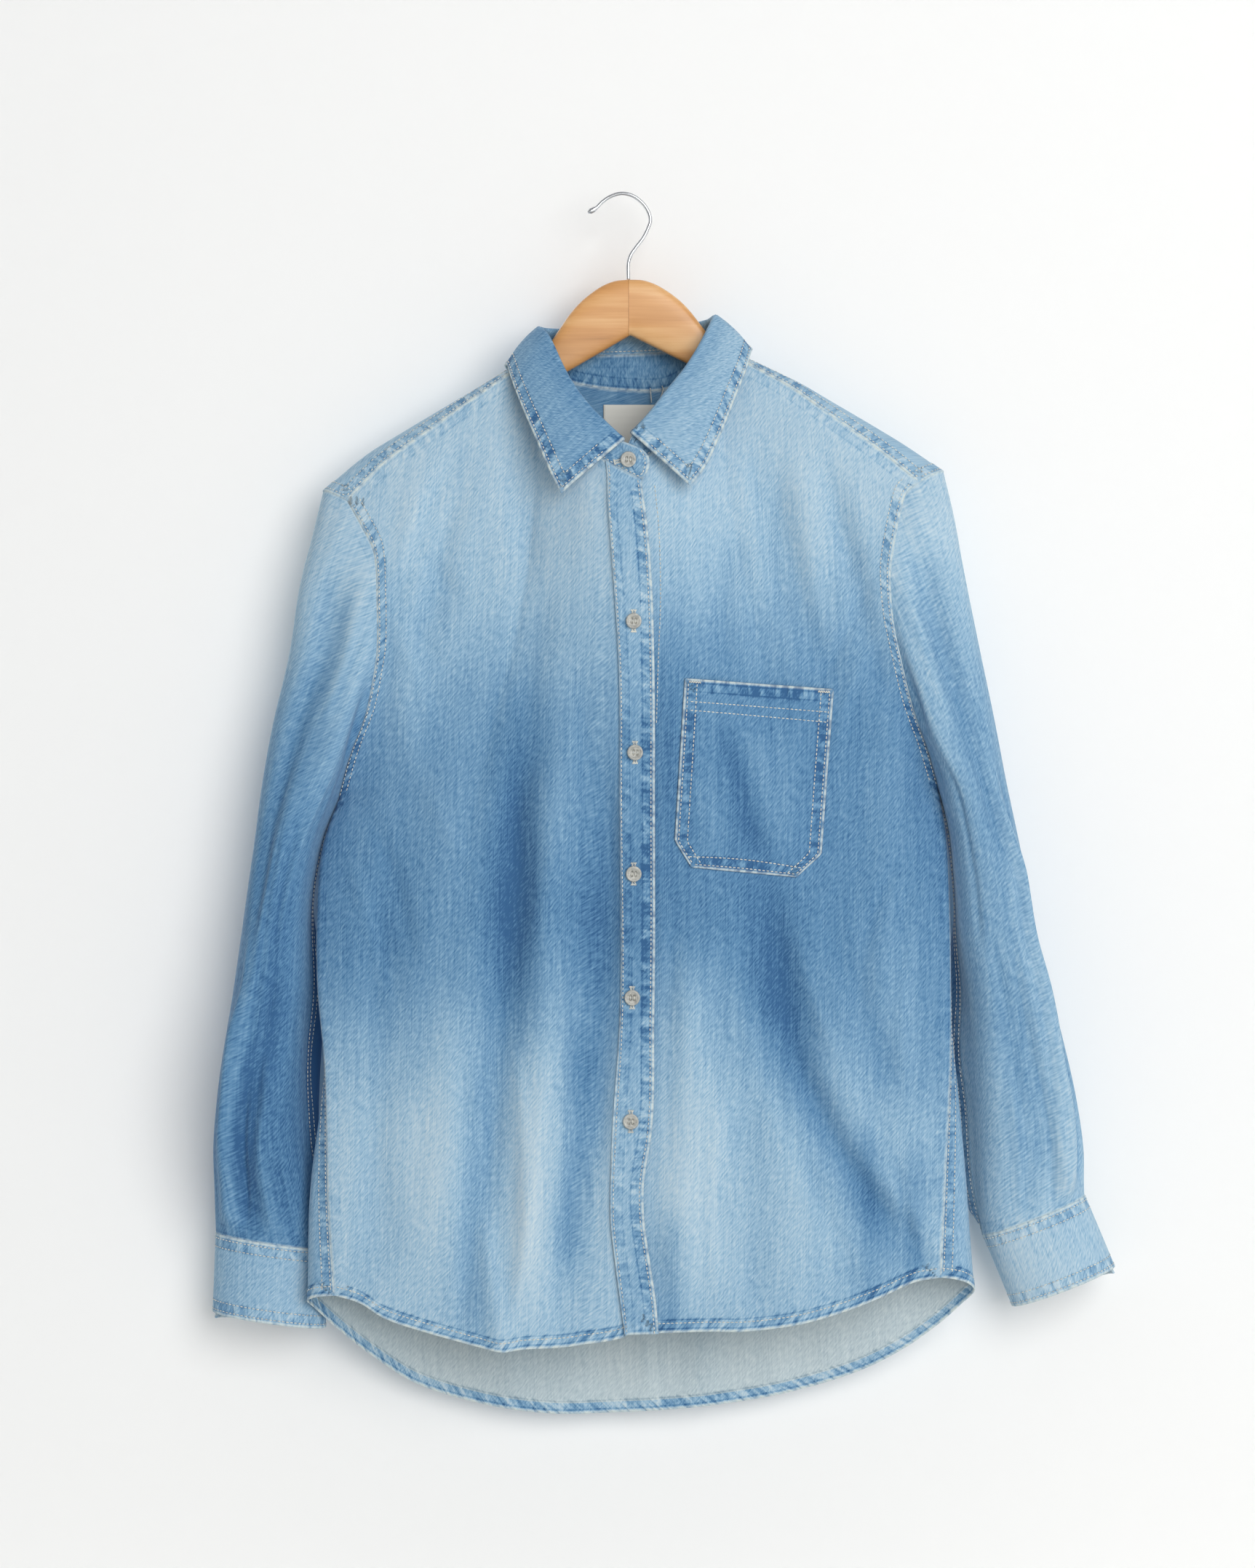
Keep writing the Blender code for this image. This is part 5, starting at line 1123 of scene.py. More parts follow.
def sleeve_sheet(side, s, v):
    """Sections between the armhole ring and the cuff, drawn to them by (1 - v)^4 and v^6, with
    folds h exp(-(a/w)^2) that rise along the normals."""
    ring, angles = arm_ring(side, s), 2 * np.pi * s
    end = cuff_ring(side, angles)
    v = v[:, None]
    z = ring[None, :, 2] * (1 - v) + end[None, :, 2] * v
    turned = np.broadcast_to(angles, z.shape)
    sheet = sleeve_sections(side, z, turned)
    plain = (sheet + (1 - v[..., None]) ** 4 * (ring - sheet[0])[None]
             + v[..., None] ** 6 * (end - sheet[-1])[None])
    height = np.zeros_like(z)
    folds = SLEEVE_FOLDS[side] + SLEEVE_CREASES[side]
    for number, (z0, a0, z1, a1, width, rise) in enumerate(folds):
        t = (z - z0) / (z1 - z0)
        waver = np.sin(z / 33 + number * 1.9) + 0.6 * np.sin(z / 15 + number)
        centre = a0 + (a1 - a0) * np.clip(t, -0.2, 1.2) + 1.8 * waver
        across = (np.degrees(turned) - centre + 180) % 360 - 180
        ends = ramp(t / 0.25) * ramp((1.15 - t) / 0.25)
        bell = np.exp(-((across / (width * (1 + 0.12 * waver))) ** 2))
        height = height + rise * (1 + 0.16 * np.sin(z / 41 + number)) * ends * bell
    ripples = waves(np.degrees(turned) * 0.75, z, 21 + len(side), 14.0)
    height = height + 0.8 * ripples * ramp(np.minimum(s, 1 - s) / 0.05)[None]
    height = height * ramp(v / 0.12) * ramp((1 - v) / 0.05)
    return plain - normals(plain, True) * sign(side) * height[..., None], height, plain


sleeves = {}
for side in SIDES:
    by_seam = (1.0, 3.0, 6.0, 8.6, 10.0)
    s = spaced(300, first=by_seam, last=by_seam, step=2.9)
    sheet, height, plain = sleeve_sheet(side, s, spaced(560, first=(1, 2.5, 5), step=3.0))
    x, z = sheet[..., 0], sheet[..., 2]
    # Paler on fold ridges and darker in fold hollows: partly the wash's wear, partly painted shade
    pale = (column(SLEEVE_WASH_AND_SHADE[side], 1, z) + 0.03 * np.clip(height, -4, 3)
            + 0.03 * waves(x, z, 31, 34.0))
    # Painted shade: the inner side is made darker where shade falls beside the body,
    # under the armhole, and down the back's edge in the gap between sleeve and body.
    pale = pale - 0.2 * ramp((z + 440) / 120) * np.exp(-((360 * s - 36) / 24) ** 2)
    pale = pale - 0.4 * ramp((-400 - z) / 80) * np.exp(-((360 * s - 340) / 30) ** 2)
    sheet, pale, plain = faced(side, sheet, pale, plain)
    sleeves[side] = raised(sheet, [OUTER[side]], closed=True)
    front = np.abs(s - 0.25).argmin()
    cloth(f"sleeve_{side}", sleeves[side], CLOTH, [denim, lining],
          [("top", 0.5), (OUTER[side], 0.8), ("bottom", 0.6)], pale, closed=True, plane=True,
          flat=plain, straight=front if side == "right" else -1 - front)

# %% [markdown]
# A cuff is a double band whose ends pass each other, closed by a button on the hidden side. Each
# sleeve's slit above it is bound with a narrow band.

# %% Cuffs and the bands of the slits
CUFF_GAP = 0.15             # mm between layers that touch
# How pale each cuff is; the right one is set darker partly as painted shade, on the side away from
# the lamp
CUFF_WASH_AND_SHADE = {"right": 0.58, "left": 0.72}
BAND_V, BAND_S = (0.735, 0.955), (0.625, 0.70)    # where the slit's band lies on the sleeve
BAND_OUT = 1.1              # how far its face stands out of the sleeve's

cuffs, bands = {}, {}
for side in SIDES:
    middle, _, _, down = cuff_frame(side)
    start, lap = np.radians(CUFF_LAP_AT - 360), np.radians(CUFF_LAP_DEGREES)
    angles = start - lap + (2 * np.pi + lap) * spaced(260, step=2.4)
    under = 1 - ramp((angles - start) / lap)[:, None]
    ring = cuff_ring(side, angles)
    inward = unit(middle - ring)
    ring = ring + inward * under * (DOUBLE + 2 * CUFF_GAP)
    height = CUFF[side][7]
    v = spaced(height, step=2.4)[:, None, None]
    round_it, down_it = np.meshgrid(angles * 30, v[:, 0, 0] * height)
    swell = 0.5 * waves(round_it, down_it, 40 + len(side), 9.0)
    sheet = (ring + down * v * (height + under * CUFF_LAP_DROP)
             - inward * (0.35 + swell)[..., None])
    inward = np.broadcast_to(inward, sheet.shape)
    pale = CUFF_WASH_AND_SHADE[side] + 0.1 * waves(round_it, down_it, 42, 16.0)
    sheet, inward, pale = faced(side, sheet, inward, pale)
    cuffs[side] = raised(sheet, ["top", "bottom"], height=0.3, wide=2.0)
    cloth(f"cuff_{side}", cuffs[side], DOUBLE, [denim], zip(EDGES, (1.0, 1.0, 0.9, 0.9)), pale,
          inward=inward)
    sleeve = sleeves[side]
    r, c = np.meshgrid(np.linspace(*BAND_V, 60) * (len(sleeve) - 1),
                       np.linspace(*BAND_S, 9) * (sleeve.shape[1] - 1), indexing="ij")
    c = c if side == "right" else sleeve.shape[1] - 1 - c[:, ::-1]
    bands[side] = sampled(sleeve, r, c) + sampled(normals(sleeve, True), r, c) * BAND_OUT
    cloth(f"slit_band_{side}", bands[side], 1.0, [denim], zip(EDGES, (0.8, 0.5, 0.9, 0.9)),
          column(SLEEVE_WASH_AND_SHADE[side], 1, bands[side][..., 2]) + 0.06)

# %% [markdown]
# ## Collar
# The stand is a band that rises from the neck seam. The fall is sewn to its top edge, goes over
# the fold line and comes down to its own outer edge, which ends in the two points.

# %% Collar stand and fall
# The line where the collar folds over, and the outer edge of its fall
ROLL = {
    "right": [(3.5, -52.5, -183), (-14, -48, -165.7), (-26.5, -42, -150.5), (-38, -34, -131.5),
              (-50, -19, -105), (-56.5, -6, -97)],
    "back": [(-56.5, -6, -97), (-50, 8, -97), (-30, 16, -96), (6, 18, -95), (42, 16, -93),
             (60, 8, -91), (67.3, -6, -88.6)],
    "left": [(7.5, -48.8, -178), (21.7, -46, -162.5), (32.3, -41, -147.8), (45, -34, -130.5),
             (54, -27, -115.7), (62, -17, -100), (67.3, -6, -88.6)],
}
FALL_EDGE = {
    "right": [(-42.5, -55, -222.5), (-50, -53, -207.5), (-60.5, -47, -183), (-70.3, -37, -160),
              (-78, -26, -140.5), (-83, -12, -125)],
    "back": [(-83, -12, -125), (-84, 8, -126), (-62, 22, -146), (6, 27, -156), (68, 22, -141),
             (96, 8, -114), (96.6, -12, -115)],
    "left": [(50.8, -55, -217), (61.6, -52.5, -203), (72.8, -46, -179.3), (83.5, -37, -152.3),
             (92, -25, -131), (96.6, -12, -115)],
}
# The fold in section, from the neck side over the top: how far below the fold line, how far out
FALL_FOLD = [(2.6, -1.9), (0.4, -0.7), (0.4, 1.9), (2.6, 3.2)]
ROLL_OUT = 1.5              # how far the cloth's middle lies outside the fold's inner side
FALL_CROWN = 2.0            # how far the fall bulges between its fold and its edge
STAND_SEAM = (3.4, 21.0)    # how far below the fold the two parts meet: in front, behind
# The end of the stand that has the buttonhole
STAND_TAB = [(15.4, -52.6, -190.6), (20.3, -52.4, -196.5), (20.6, -52, -203.5), (17.8, -51.6, -210)]
BACK_CELLS = 28             # even cells of the neck seam between the two fronts
NECK_MIDDLE = (5, -18, 0)   # middle of the neck opening, seen from above


def around(right, back_line, left, share):
    """A line round the neck: the right part, the part at the back, and the left part."""
    whole = 2 * NECK_CELLS + BACK_CELLS
    cell = share * whole
    first, last = cell <= NECK_CELLS, cell >= whole - NECK_CELLS
    mid = ~first & ~last
    return np.concatenate([
        smooth(right, neck_share(cell[first])),
        smooth(back_line, (cell[mid] - NECK_CELLS) / BACK_CELLS),
        smooth(left, neck_share(whole - cell[last]))])


def fold_frame(share):
    """The neck seam, the fold line, and the directions up and out along it."""
    neck = around(NECK_FRONT["right"], NECK_BACK, NECK_FRONT["left"], share)
    roll = around(ROLL["right"], ROLL["back"], ROLL["left"], share)
    away = unit((roll - NECK_MIDDLE) * (1, 1, 0))
    roll = roll + away * (ROLL_OUT * ramp(np.minimum(share, 1 - share) / 0.08))[:, None]
    along = unit(np.gradient(roll, axis=0))
    up = unit(roll - neck)
    up = unit(up - (up * along).sum(axis=-1, keepdims=True) * along)
    low, high = STAND_SEAM
    drop = (low + (high - low) * ramp(np.minimum(share, 1 - share) / 0.4))[:, None]
    return neck, roll, up, np.cross(up, along), drop


share = spaced(480, step=2.4)
neck, roll, up, out, drop = fold_frame(share)
v = spaced(34, first=(0.8, 2.2, 3.6), last=(0.8, 2.2, 3.6), step=2.0)[:, None, None]
stand = (roll - up * drop) * (1 - v) + neck * v
tab = smooth(STAND_TAB, v[:, 0, 0])
reach = np.array([0.0, 0.35, 0.7])[None, :, None]
stand = np.concatenate([tab[:, None] * (1 - reach) + stand[:, :1] * reach, stand], axis=1)
pale = 0.45 + 0.10 * waves(stand[..., 0], stand[..., 2], 50, 9.0)
cloth("collar_stand", stand, DOUBLE, [denim], zip(EDGES, (0.5, 0.9, 1.0, 1.0)), pale,
      wash_inside=pale - 0.15)

fold = [roll - up * drop, roll - up * (drop + FALL_FOLD[0][0]) / 2 + out * FALL_FOLD[0][1] / 2]
fold += [roll - up * below + out * reach for below, reach in FALL_FOLD]
edge = around(FALL_EDGE["right"], FALL_EDGE["back"], FALL_EDGE["left"], share)
fold += [fold[5] * (1 - w) + edge * w + out * FALL_CROWN * 4 * w * (1 - w)
         for w in np.linspace(0, 1, 6)[1:]]
fold = np.stack(fold)
rows = spaced(74, first=(0.8, 2.0, 3.6), step=1.9)
collar = smooth(fold.reshape(len(fold), -1), rows).reshape(len(rows), -1, 3)
round_it, down_it = np.meshgrid(share * 480, rows * 74)
collar = collar + normals(collar) * 0.35 * waves(round_it, down_it, 55, 11.0)[..., None]
collar = raised(collar, ["bottom", "first", "last"], height=0.3, wide=2.4)
leaf = ramp((rows - 0.35) / 0.2)[:, None]
# Painted light and shade: the left part is made paler than the right, which lies on the side away
# from the lamp
pale = (0.34 + 0.08 * leaf + 0.18 * ramp(share * 2 - 0.5)
        + 0.06 * waves(round_it, down_it, 56, 19.0))
cloth("collar", collar, DOUBLE, [denim], zip(EDGES, (0.5, 1.2, 1.2, 1.2)), pale)

# %% [markdown]
# ## Front band, pocket and label
# The band is folded under along the front edge and stitched down its other side. The pocket lies
# on the left chest, a little askew. The label is a blank piece of satin inside the yoke.

# %% Front band, pocket and label
# Corners of the pocket: x, z
POCKET = [(47.4, -356.6), (155.8, -364), (146.5, -484), (128.4, -500.6), (51.9, -493.2),
          (40, -474)]
POCKET_CUT = 0.875          # share of each side of it that is straight, above the cut corner
POCKET_OFF = 0.25           # between the pocket and the front
LABEL = (-12, 28, -153, -186)   # x of its sides, z of its top and bottom
# How pale the band is: z, share
WASH_BAND = [(-212, .50), (-260, .58), (-300, .56), (-340, .46), (-400, .36), (-460, .27),
             (-560, .27), (-610, .40), (-660, .54), (-700, .58), (-750, .54), (-832, .54)]

v = spaced(640, first=(1, 2.4, 4), step=3.0)
base, _, _ = front_sheet("right", spaced(32, step=2.2) / CELLS_ACROSS, v)
past_edge = PLACKET_EDGE * np.maximum(0, 1 - np.linspace(0, 1, base.shape[1]) * 4)
band = base + unit(base[:, :1] - base[:, 1:2]) * past_edge[None, :, None]
band[..., 1] -= CLOTH + 0.1 + 0.25 * (1 + waves(band[..., 0], band[..., 2], 60, 8.0))
pale = column(WASH_BAND, 1, band[..., 2]) + 0.06 * waves(band[..., 0], band[..., 2], 61, 14.0)
cloth("front_band", band, CLOTH, [denim], zip(EDGES, (0.4, 0.9, 1.1, 0.8)), pale, plane=True)

a, b, c, d, e, f = (np.array([x, 0.0, z]) for x, z in POCKET)
v, share = spaced(130, first=NEAR[:-1], last=NEAR[:-1], step=2.3), spaced(100, step=2.3)
left = followed([a, f], [f, e], POCKET_CUT, v)
right = followed([b, c], [c, d], POCKET_CUT, v)
flat = patch(left, right, a + (b - a) * share[:, None], e + (d - e) * share[:, None],
             share, share, v)[:, ::-1]
x, z = flat[..., 0], flat[..., 2]
under = sampled(fronts["left"], *places_on(fronts["left"], x, z))
pocket = np.stack([x, under[..., 1] - (CLOTH + POCKET_OFF), z], -1)
# Its folds, placed as the fronts' are
POCKET_FOLD = [(72, -384, 84, -420, 101, -484, 10, -1.7), (92, -384, 104, -424, 116, -484, 9, 1.2),
               (58, -420, 62, -450, 66, -486, 7, 1.2), (122, -380, 124, -430, 128, -480, 8, 1.2)]
folds = fold_height(x, z, POCKET_FOLD)
inside = np.minimum.reduce([from_edge(flat, edge)[0] for edge in EDGES[1:]])
pocket[..., 1] -= (0.9 + folds + 0.5 * waves(x, z, 70, 9.0)) * ramp(inside / 14)
# Darker in the pocket's fold trough and paler on its ridges: partly wash wear, partly painted shade;
# it also grows a little darker towards the bottom
pale = 0.24 + 0.08 * folds + 0.05 * waves(x, z, 71, 15.0) - 0.04 * ramp((z + 420) / -60)
pocket = raised(pocket, EDGES, height=0.25, wide=2.0)
cloth("pocket", pocket, CLOTH, [denim], zip(EDGES, (1.1, 1.0, 1.0, 1.0)), pale, plane=True)

x0, x1, z0, z1 = LABEL
x, z = np.meshgrid(np.linspace(x1, x0, 28), np.linspace(z0, z1, 24))
r, c = places_on(yoke, x, z)
label = np.stack([x, sampled(yoke, r, c)[..., 1] - DOUBLE - 0.9, z], -1)
label[..., 1] -= 0.8 * np.sin(np.pi * (x - x0) / (x1 - x0)) * ((z0 - z) / (z0 - z1)) + 0.2
cloth("label", label, 0.4, [satin], [("top", 0.0)], 0.5, plane=True)

# %% [markdown]
# ## The rows of stitches
# Seams that carry load are sewn twice, with rows a quarter of an inch apart. Each piece of cloth
# has its own mesh of thread, which hangs with it.

# %% Rows of stitches
PAIR = (ROW, ROW + ROWS_APART)
HEM_ROW = 6.6
ROW_ENDS = (2, 2)           # how far most rows stop short of an edge's ends
LEAF_FROM = 0.44            # share of the collar's rows that lie before its leaf shows

sewn = {}
for side in SIDES:
    sheet = fronts[side]
    arm = places_on(sheet, *(np.array(ARM_FRONT[side])[-1][[0, 2]]))[0]
    rows = rows_of(sheet, ("bottom", [HEM_ROW], ROW_ENDS))
    for distance in PAIR:
        r, c = line_inside(sheet, OUTER[side], distance)
        rows.append(stitched(sheet, r[r <= arm], c[r <= arm], ends=(6, 2)))
    sewn[f"front_{side}"] = rows
# The left front has its own folded edge, which shows beside the band near the collar.
sewn["front_left"].append(row_through(fronts["left"], (25, -214), (28.5, -250), (29.5, -300),
                                      (28, -340), (26.5, -390)))
sewn["back"] = rows_of(back, ("bottom", [HEM_ROW], ROW_ENDS), ("first last", PAIR, (4, 4)))
sewn["yoke"] = rows_of(yoke, ("bottom", PAIR, (4, 4)), ("first last", PAIR, (3, 3)))
for side in SIDES:
    sewn[f"sleeve_{side}"] = rows_of(sleeves[side], (OUTER[side], PAIR, ROW_ENDS), closed=True)
    sewn[f"cuff_{side}"] = rows_of(cuffs[side], ("top bottom", PAIR, ROW_ENDS),
                                   ("first last", [ROW], ROW_ENDS))
    sewn[f"slit_band_{side}"] = rows_of(bands[side], ("first last", [2.0], ROW_ENDS))
rows = rows_of(collar, ("top", [3.0], (60, 60)))
for distance in PAIR:
    rows += rows_of(collar, ("bottom", [distance], (distance, distance)))
    for edge in ("first", "last"):
        r, c = line_inside(collar, edge, distance)
        on_leaf = r > LEAF_FROM * (len(collar) - 1)
        rows.append(stitched(collar, r[on_leaf], c[on_leaf], ends=(1, distance)))
sewn["collar"] = rows
sewn["collar_stand"] = rows_of(stand, ("bottom first", [ROW], ROW_ENDS))
sewn["front_band"] = rows_of(band, ("first last", [ROW], (1, 1)))
(ax, az), (bx, bz) = POCKET[:2]
sewn["pocket"] = rows_of(pocket, ("bottom first last", PAIR, (3, 3))) + [
    row_through(pocket, (ax - 0.03 * low_a + 2, az - low_a),
                ((ax + bx) / 2, (az + bz) / 2 - (low_a + low_b) / 2),
                (bx - 0.08 * low_b - 2, bz - low_b))
    for low_a, low_b in ((16.4, 16.6), (22.7, 24.0))]
threads = {name: sew(name, rows) for name, rows in sewn.items()}

# %% Bar tacks and buttonholes
# Buttons: name, x, z
BUTTONS = [("button_stand", 6.2, -198.3), ("button_1", 10.1, -315.1), ("button_2", 11.1, -410.2),
           ("button_3", 10.1, -498), ("button_4", 9, -587.5), ("button_5", 8, -677)]
HOLE_LONG = 15.5            # mm from end to end of a buttonhole
HOLE_HALF, BAR_HALF = 0.9, 1.8  # mm from its middle line to its rows, and to its bars' ends


def bar(sheet, x, z, direction):
    """The two rows of close stitches along a buttonhole, and the bars at its ends."""
    middle, along = np.array([x, z]), np.array(direction) * HOLE_LONG / 2
    across = np.array([direction[1], -direction[0]])
    rows = [tack(sheet, middle - along + across * d, middle + along + across * d, gap=0.55)
            for d in (-HOLE_HALF, HOLE_HALF)]
    return rows + [tack(sheet, middle + along * e - across * BAR_HALF,
                        middle + along * e + across * BAR_HALF, gap=0.5) for e in (-1, 1)]


pocket_tacks = sew("pocket_tacks", [tack(pocket, (ax + 3, az - 2.2), (ax + 11, az - 2.8)),
                                    tack(pocket, (bx - 11, bz - 1.6), (bx - 3, bz - 2.0))],
                   half=0.95, radius=0.42)
holes = [part for name, x, z in BUTTONS[1:] for part in bar(band, x, z, (0, 1))]
band_holes = sew("buttonholes", holes, half=0.85, radius=0.32)
x, z = BUTTONS[0][1:]
stand_hole = sew("stand_buttonhole", bar(stand, x - 2.5, z, (0.97, 0.24)), half=0.85,
                 radius=0.32)

# %% [markdown]
# ## Buttons
# A shirt button is turned from a cast disc: a raised rim, a dished middle and four holes, through
# which the thread shows as two short bars.

# %% Buttons
BUTTON_RADIUS = 5.7
BUTTON_OFF = 0.25           # how far its underside stands off the nearest cloth
CUFF_BUTTON_OFF = 1.0
CUFF_BUTTON_BEFORE = 12.0   # degrees before the outer end of the cuff
HOLE_OUT = 1.35             # from the middle to a hole's middle, across and along
HOLE_RADIUS, HOLE_DEEP = 0.8, 1.5
BAR_RADIUS = 0.42           # of the thread that joins two holes
TURNS = 56
# Its section from the middle of the underside, round the rim to the middle of the top: radius,
# height. The first eight are out of the holes' reach.
SECTION = np.array([(0.4, 0.0), (2.5, 0.0), (4.8, 0.0), (5.4, 0.4), (5.65, 1.0), (5.7, 1.6),
                    (5.6, 2.1), (5.3, 2.45), (4.9, 2.6), (4.5, 2.55), (4.1, 2.35), (3.7, 2.05),
                    (3.3, 1.88), (2.8, 1.82), (2.3, 1.8), (1.8, 1.78), (1.3, 1.76), (0.8, 1.75),
                    (0.3, 1.75)])
POLES = [(0, 0, 0), (0, 0, 1.75)]


def button(name, place, facing, up):
    """P = (r cos f, r sin f, h(r)), and at each hole h sinks by 1.5 exp(-(d/0.8)^6), where d is
    the distance from the hole's middle. Two bars of thread join the holes."""
    r, h = SECTION[:, :1], np.repeat(SECTION[:, 1:], TURNS, axis=1)
    x, y = r * np.cos(angles_round(TURNS)), r * np.sin(angles_round(TURNS))
    top = (np.arange(len(SECTION)) >= 8)[:, None]
    for sx, sy in ((-1, -1), (-1, 1), (1, -1), (1, 1)):
        d = np.hypot(x - sx * HOLE_OUT, y - sy * HOLE_OUT) / HOLE_RADIUS
        h = h - top * HOLE_DEEP * np.exp(-d**6)
    points = np.concatenate([np.stack([x, y, h], -1).reshape(-1, 3), POLES])
    facing, up = unit(np.array(facing, float)), np.array(up, float)
    y_axis = unit(up - (up @ facing) * facing)
    basis = np.stack([np.cross(y_axis, facing), y_axis, facing])
    quads, tris = tube_faces(len(SECTION), TURNS)
    made = add_mesh(name, points @ basis + place, quads, [horn], tris)
    bars = np.array([(-HOLE_OUT, 0, 1.95), (HOLE_OUT, 0, 1.95)]) @ basis + place
    return made, spindles(f"thread_{name}", bars, np.tile(y_axis, (2, 1)),
                          np.tile(facing, (2, 1)), half=HOLE_OUT + 0.4, radius=BAR_RADIUS)


def front_button(name, x, z, sheet):
    """A button that stands in front of all the cloth under its rim."""
    turns = np.linspace(0, 2 * np.pi, 13)
    r, c = places_on(sheet, x + BUTTON_RADIUS * np.cos(turns), z + BUTTON_RADIUS * np.sin(turns))
    y = sampled(sheet, r, c)[:, 1].min() - BUTTON_OFF
    return button(name, np.array([x, y, z]), (0, -1, 0), (0.05, 0, 1))


buttons = {}
for name, x, z in BUTTONS:
    buttons[name] = front_button(f"sewn_{name}", x, z, stand if name == "button_stand" else band)
for side in SIDES:
    down = cuff_frame(side)[-1]
    angle = np.radians(CUFF_LAP_AT - CUFF_BUTTON_BEFORE)
    before, place, after = cuff_ring(side, angle + np.array([-0.1, 0, 0.1]))
    facing = unit(np.cross(after - before, down)) * -sign(side)
    place = place + down * CUFF[side][7] / 2 + facing * CUFF_BUTTON_OFF
    buttons[f"cuff_button_{side}"] = button(f"sewn_cuff_button_{side}", place, facing, (0, 0, 1))
print("buttons:", len(buttons))

# %% [markdown]
# ## Hanger and hook
# The hanger is sawn from one board and rounded over all its edges. The hook is one bent wire with
# a small ball at its free end. Two loops of thread tie the label's top edge to the collar.

# %% Hanger
TILT = 1.8                  # degrees
HANGER_X = 4.45             # of its middle
HANGER_HALF = 6.0           # half its thickness
# Its top edge, from the middle outwards: x, z
HANGER_TOP = [(0, -62.2), (10, -62.9), (19, -66), (27, -70.8), (36, -77.8), (44, -86.3),
              (51, -95.8), (58, -105.5), (66, -117), (74, -124.5), (84, -131.5), (95, -138)]
HANGER_SLOPE = 0.62         # of the top, from where its table ends
HANGER_REACH = 203.0
HANGER_END = 7.0            # radius of the arm's end
HANGER_UNDER = -103.2       # underside at the middle
HANGER_UNDER_SLOPE = 0.54
HANGER_SQUARE = 3.2         # 2 would make its section an ellipse
HANGER_RINGS, HANGER_SIDES = 241, 40


def tilted(points):
    """The hanger's own frame turned about the hook's inner top."""
    a = np.radians(TILT)
    x, y, z = points[..., 0], points[..., 1], points[..., 2]
    return np.stack([x * np.cos(a) - z * np.sin(a), y, x * np.sin(a) + z * np.cos(a)], -1)


def hanger_rings():
    """Sections across the arms: x = d, z = m + h s(sin f), y = w s(cos f), where s is the squared
    sine or cosine. m and h are the middle and half the height of the board there, and both h and
    w close as a quarter circle at the arms' ends."""
    d = HANGER_REACH * np.sin(np.linspace(-np.pi / 2, np.pi / 2, HANGER_RINGS))
    far, table_end = np.abs(d), HANGER_TOP[-1]
    crown = smooth([(a, 0, b) for a, b in HANGER_TOP], np.linspace(0, 1, 60))
    top = np.where(far < table_end[0], np.interp(far, crown[:, 0], crown[:, 2]),
                   table_end[1] - HANGER_SLOPE * (far - table_end[0]))
    low = HANGER_UNDER - HANGER_UNDER_SLOPE * far
    near_end = np.clip((far - (HANGER_REACH - HANGER_END)) / HANGER_END, 0, 1)
    close = np.sqrt(np.clip(1 - near_end**2, 1e-4, 1))
    half, middle = (top - low) / 2 * close, (top + low) / 2
    width = HANGER_HALF * np.minimum(1, 0.45 + 0.55 * close) * np.sqrt(close)
    f = angles_round(HANGER_SIDES)
    y = width[:, None] * squared(np.cos(f), HANGER_SQUARE)
    z = middle[:, None] + half[:, None] * squared(np.sin(f), HANGER_SQUARE)
    return tilted(np.stack([np.broadcast_to(d[:, None] + HANGER_X, y.shape), y, z], -1))


rings = hanger_rings()
quads, tris = tube_faces(*rings.shape[:2])
points = np.concatenate([rings.reshape(-1, 3), rings[[0, -1]].mean(axis=1)])
hanger = add_mesh("wooden_hanger", points, quads, [beech], tris)
print(hanger.name, "faces:", len(hanger.data.polygons))

# %% Hook, and the label's loops
WIRE = 1.4                  # radius
# The wire's middle line: x, z
HOOK = [(6.3, -61.8), (6.2, -50.5), (8, -44), (11.8, -38.3), (17.3, -31), (21.2, -23), (22.4, -18.4),
        (21.3, -12.8), (17.5, -6.6), (11.8, -1.6), (6.2, 0.9), (0, 1.4), (-7.2, -0.9),
        (-12.9, -4.7), (-17.6, -9.4), (-23.6, -12.6)]
# Share of the wire's length and its thickness there: a small ball at the free end
HOOK_BALL = [(0, 1), (0.93, 1), (0.955, 1.5), (0.98, 1.55), (1, 0.6)]
LOOP_RADIUS = 0.42          # of the label's loops of thread
LOOPS = [[(22.4, 8.2, -141.0), (22.9, 9.6, -146.5), (23.3, 9.2, -151.6)],
         [(31.0, 8.0, -139.3), (31.9, 9.4, -141.8), (30.5, 9.8, -146.5), (28.3, 9.2, -151.1)]]


def tube(name, route, radius, finish, sides):
    """P = q + r (cos f b + sin f (t x b)) round a path q with direction t, for a path that lies
    square to b, which points to the back."""
    along, b = unit(np.gradient(route, axis=0)), np.array([0.0, 1.0, 0.0])
    turns = angles_round(sides)[None, :, None]
    ring = np.cos(turns) * b + np.sin(turns) * np.cross(along, b)[:, None]
    radius = np.broadcast_to(radius, len(route))[:, None, None]
    quads, tris = tube_faces(len(route), sides)
    points = np.concatenate([(route[:, None] + ring * radius).reshape(-1, 3), route[[0, -1]]])
    return add_mesh(name, points, quads, [finish], tris)


shares = np.linspace(0, 1, 200)
hook = tube("wire_hook", smooth([(x, 0, z) for x, z in HOOK], shares),
            WIRE * np.interp(shares, *np.transpose(HOOK_BALL)), chrome, 20)
loops = [tube(f"label_loop_{k + 1}", smooth(stations, np.linspace(0, 1, 24)), LOOP_RADIUS, thread, 8)
         for k, stations in enumerate(LOOPS)]
print(hook.name, "and", len(loops), "loops")

# %% [markdown]
# ## Wall, floor and light
# The shirt hangs in front of a white wall. A broad soft lamp stands up on the right, in front, so
# folds shade towards the left, and a soft shadow falls on the wall there. The wall is seen from
# its front only, so that other views pass through it.

# %% Wall and floor
WALL_Y, FLOOR_Z, WALL_TOP = 41.0, -1035.0, 2600
ROOM_X, ROOM_Y = 3500, 4500     # half the room's width and depth


def flat_piece(name, corners, finish):
    """A still sheet of four corners, for the room round the shirt."""
    made = add_mesh(name, np.array(corners, float), np.array([[0, 1, 2, 3]]), [finish])
    return made


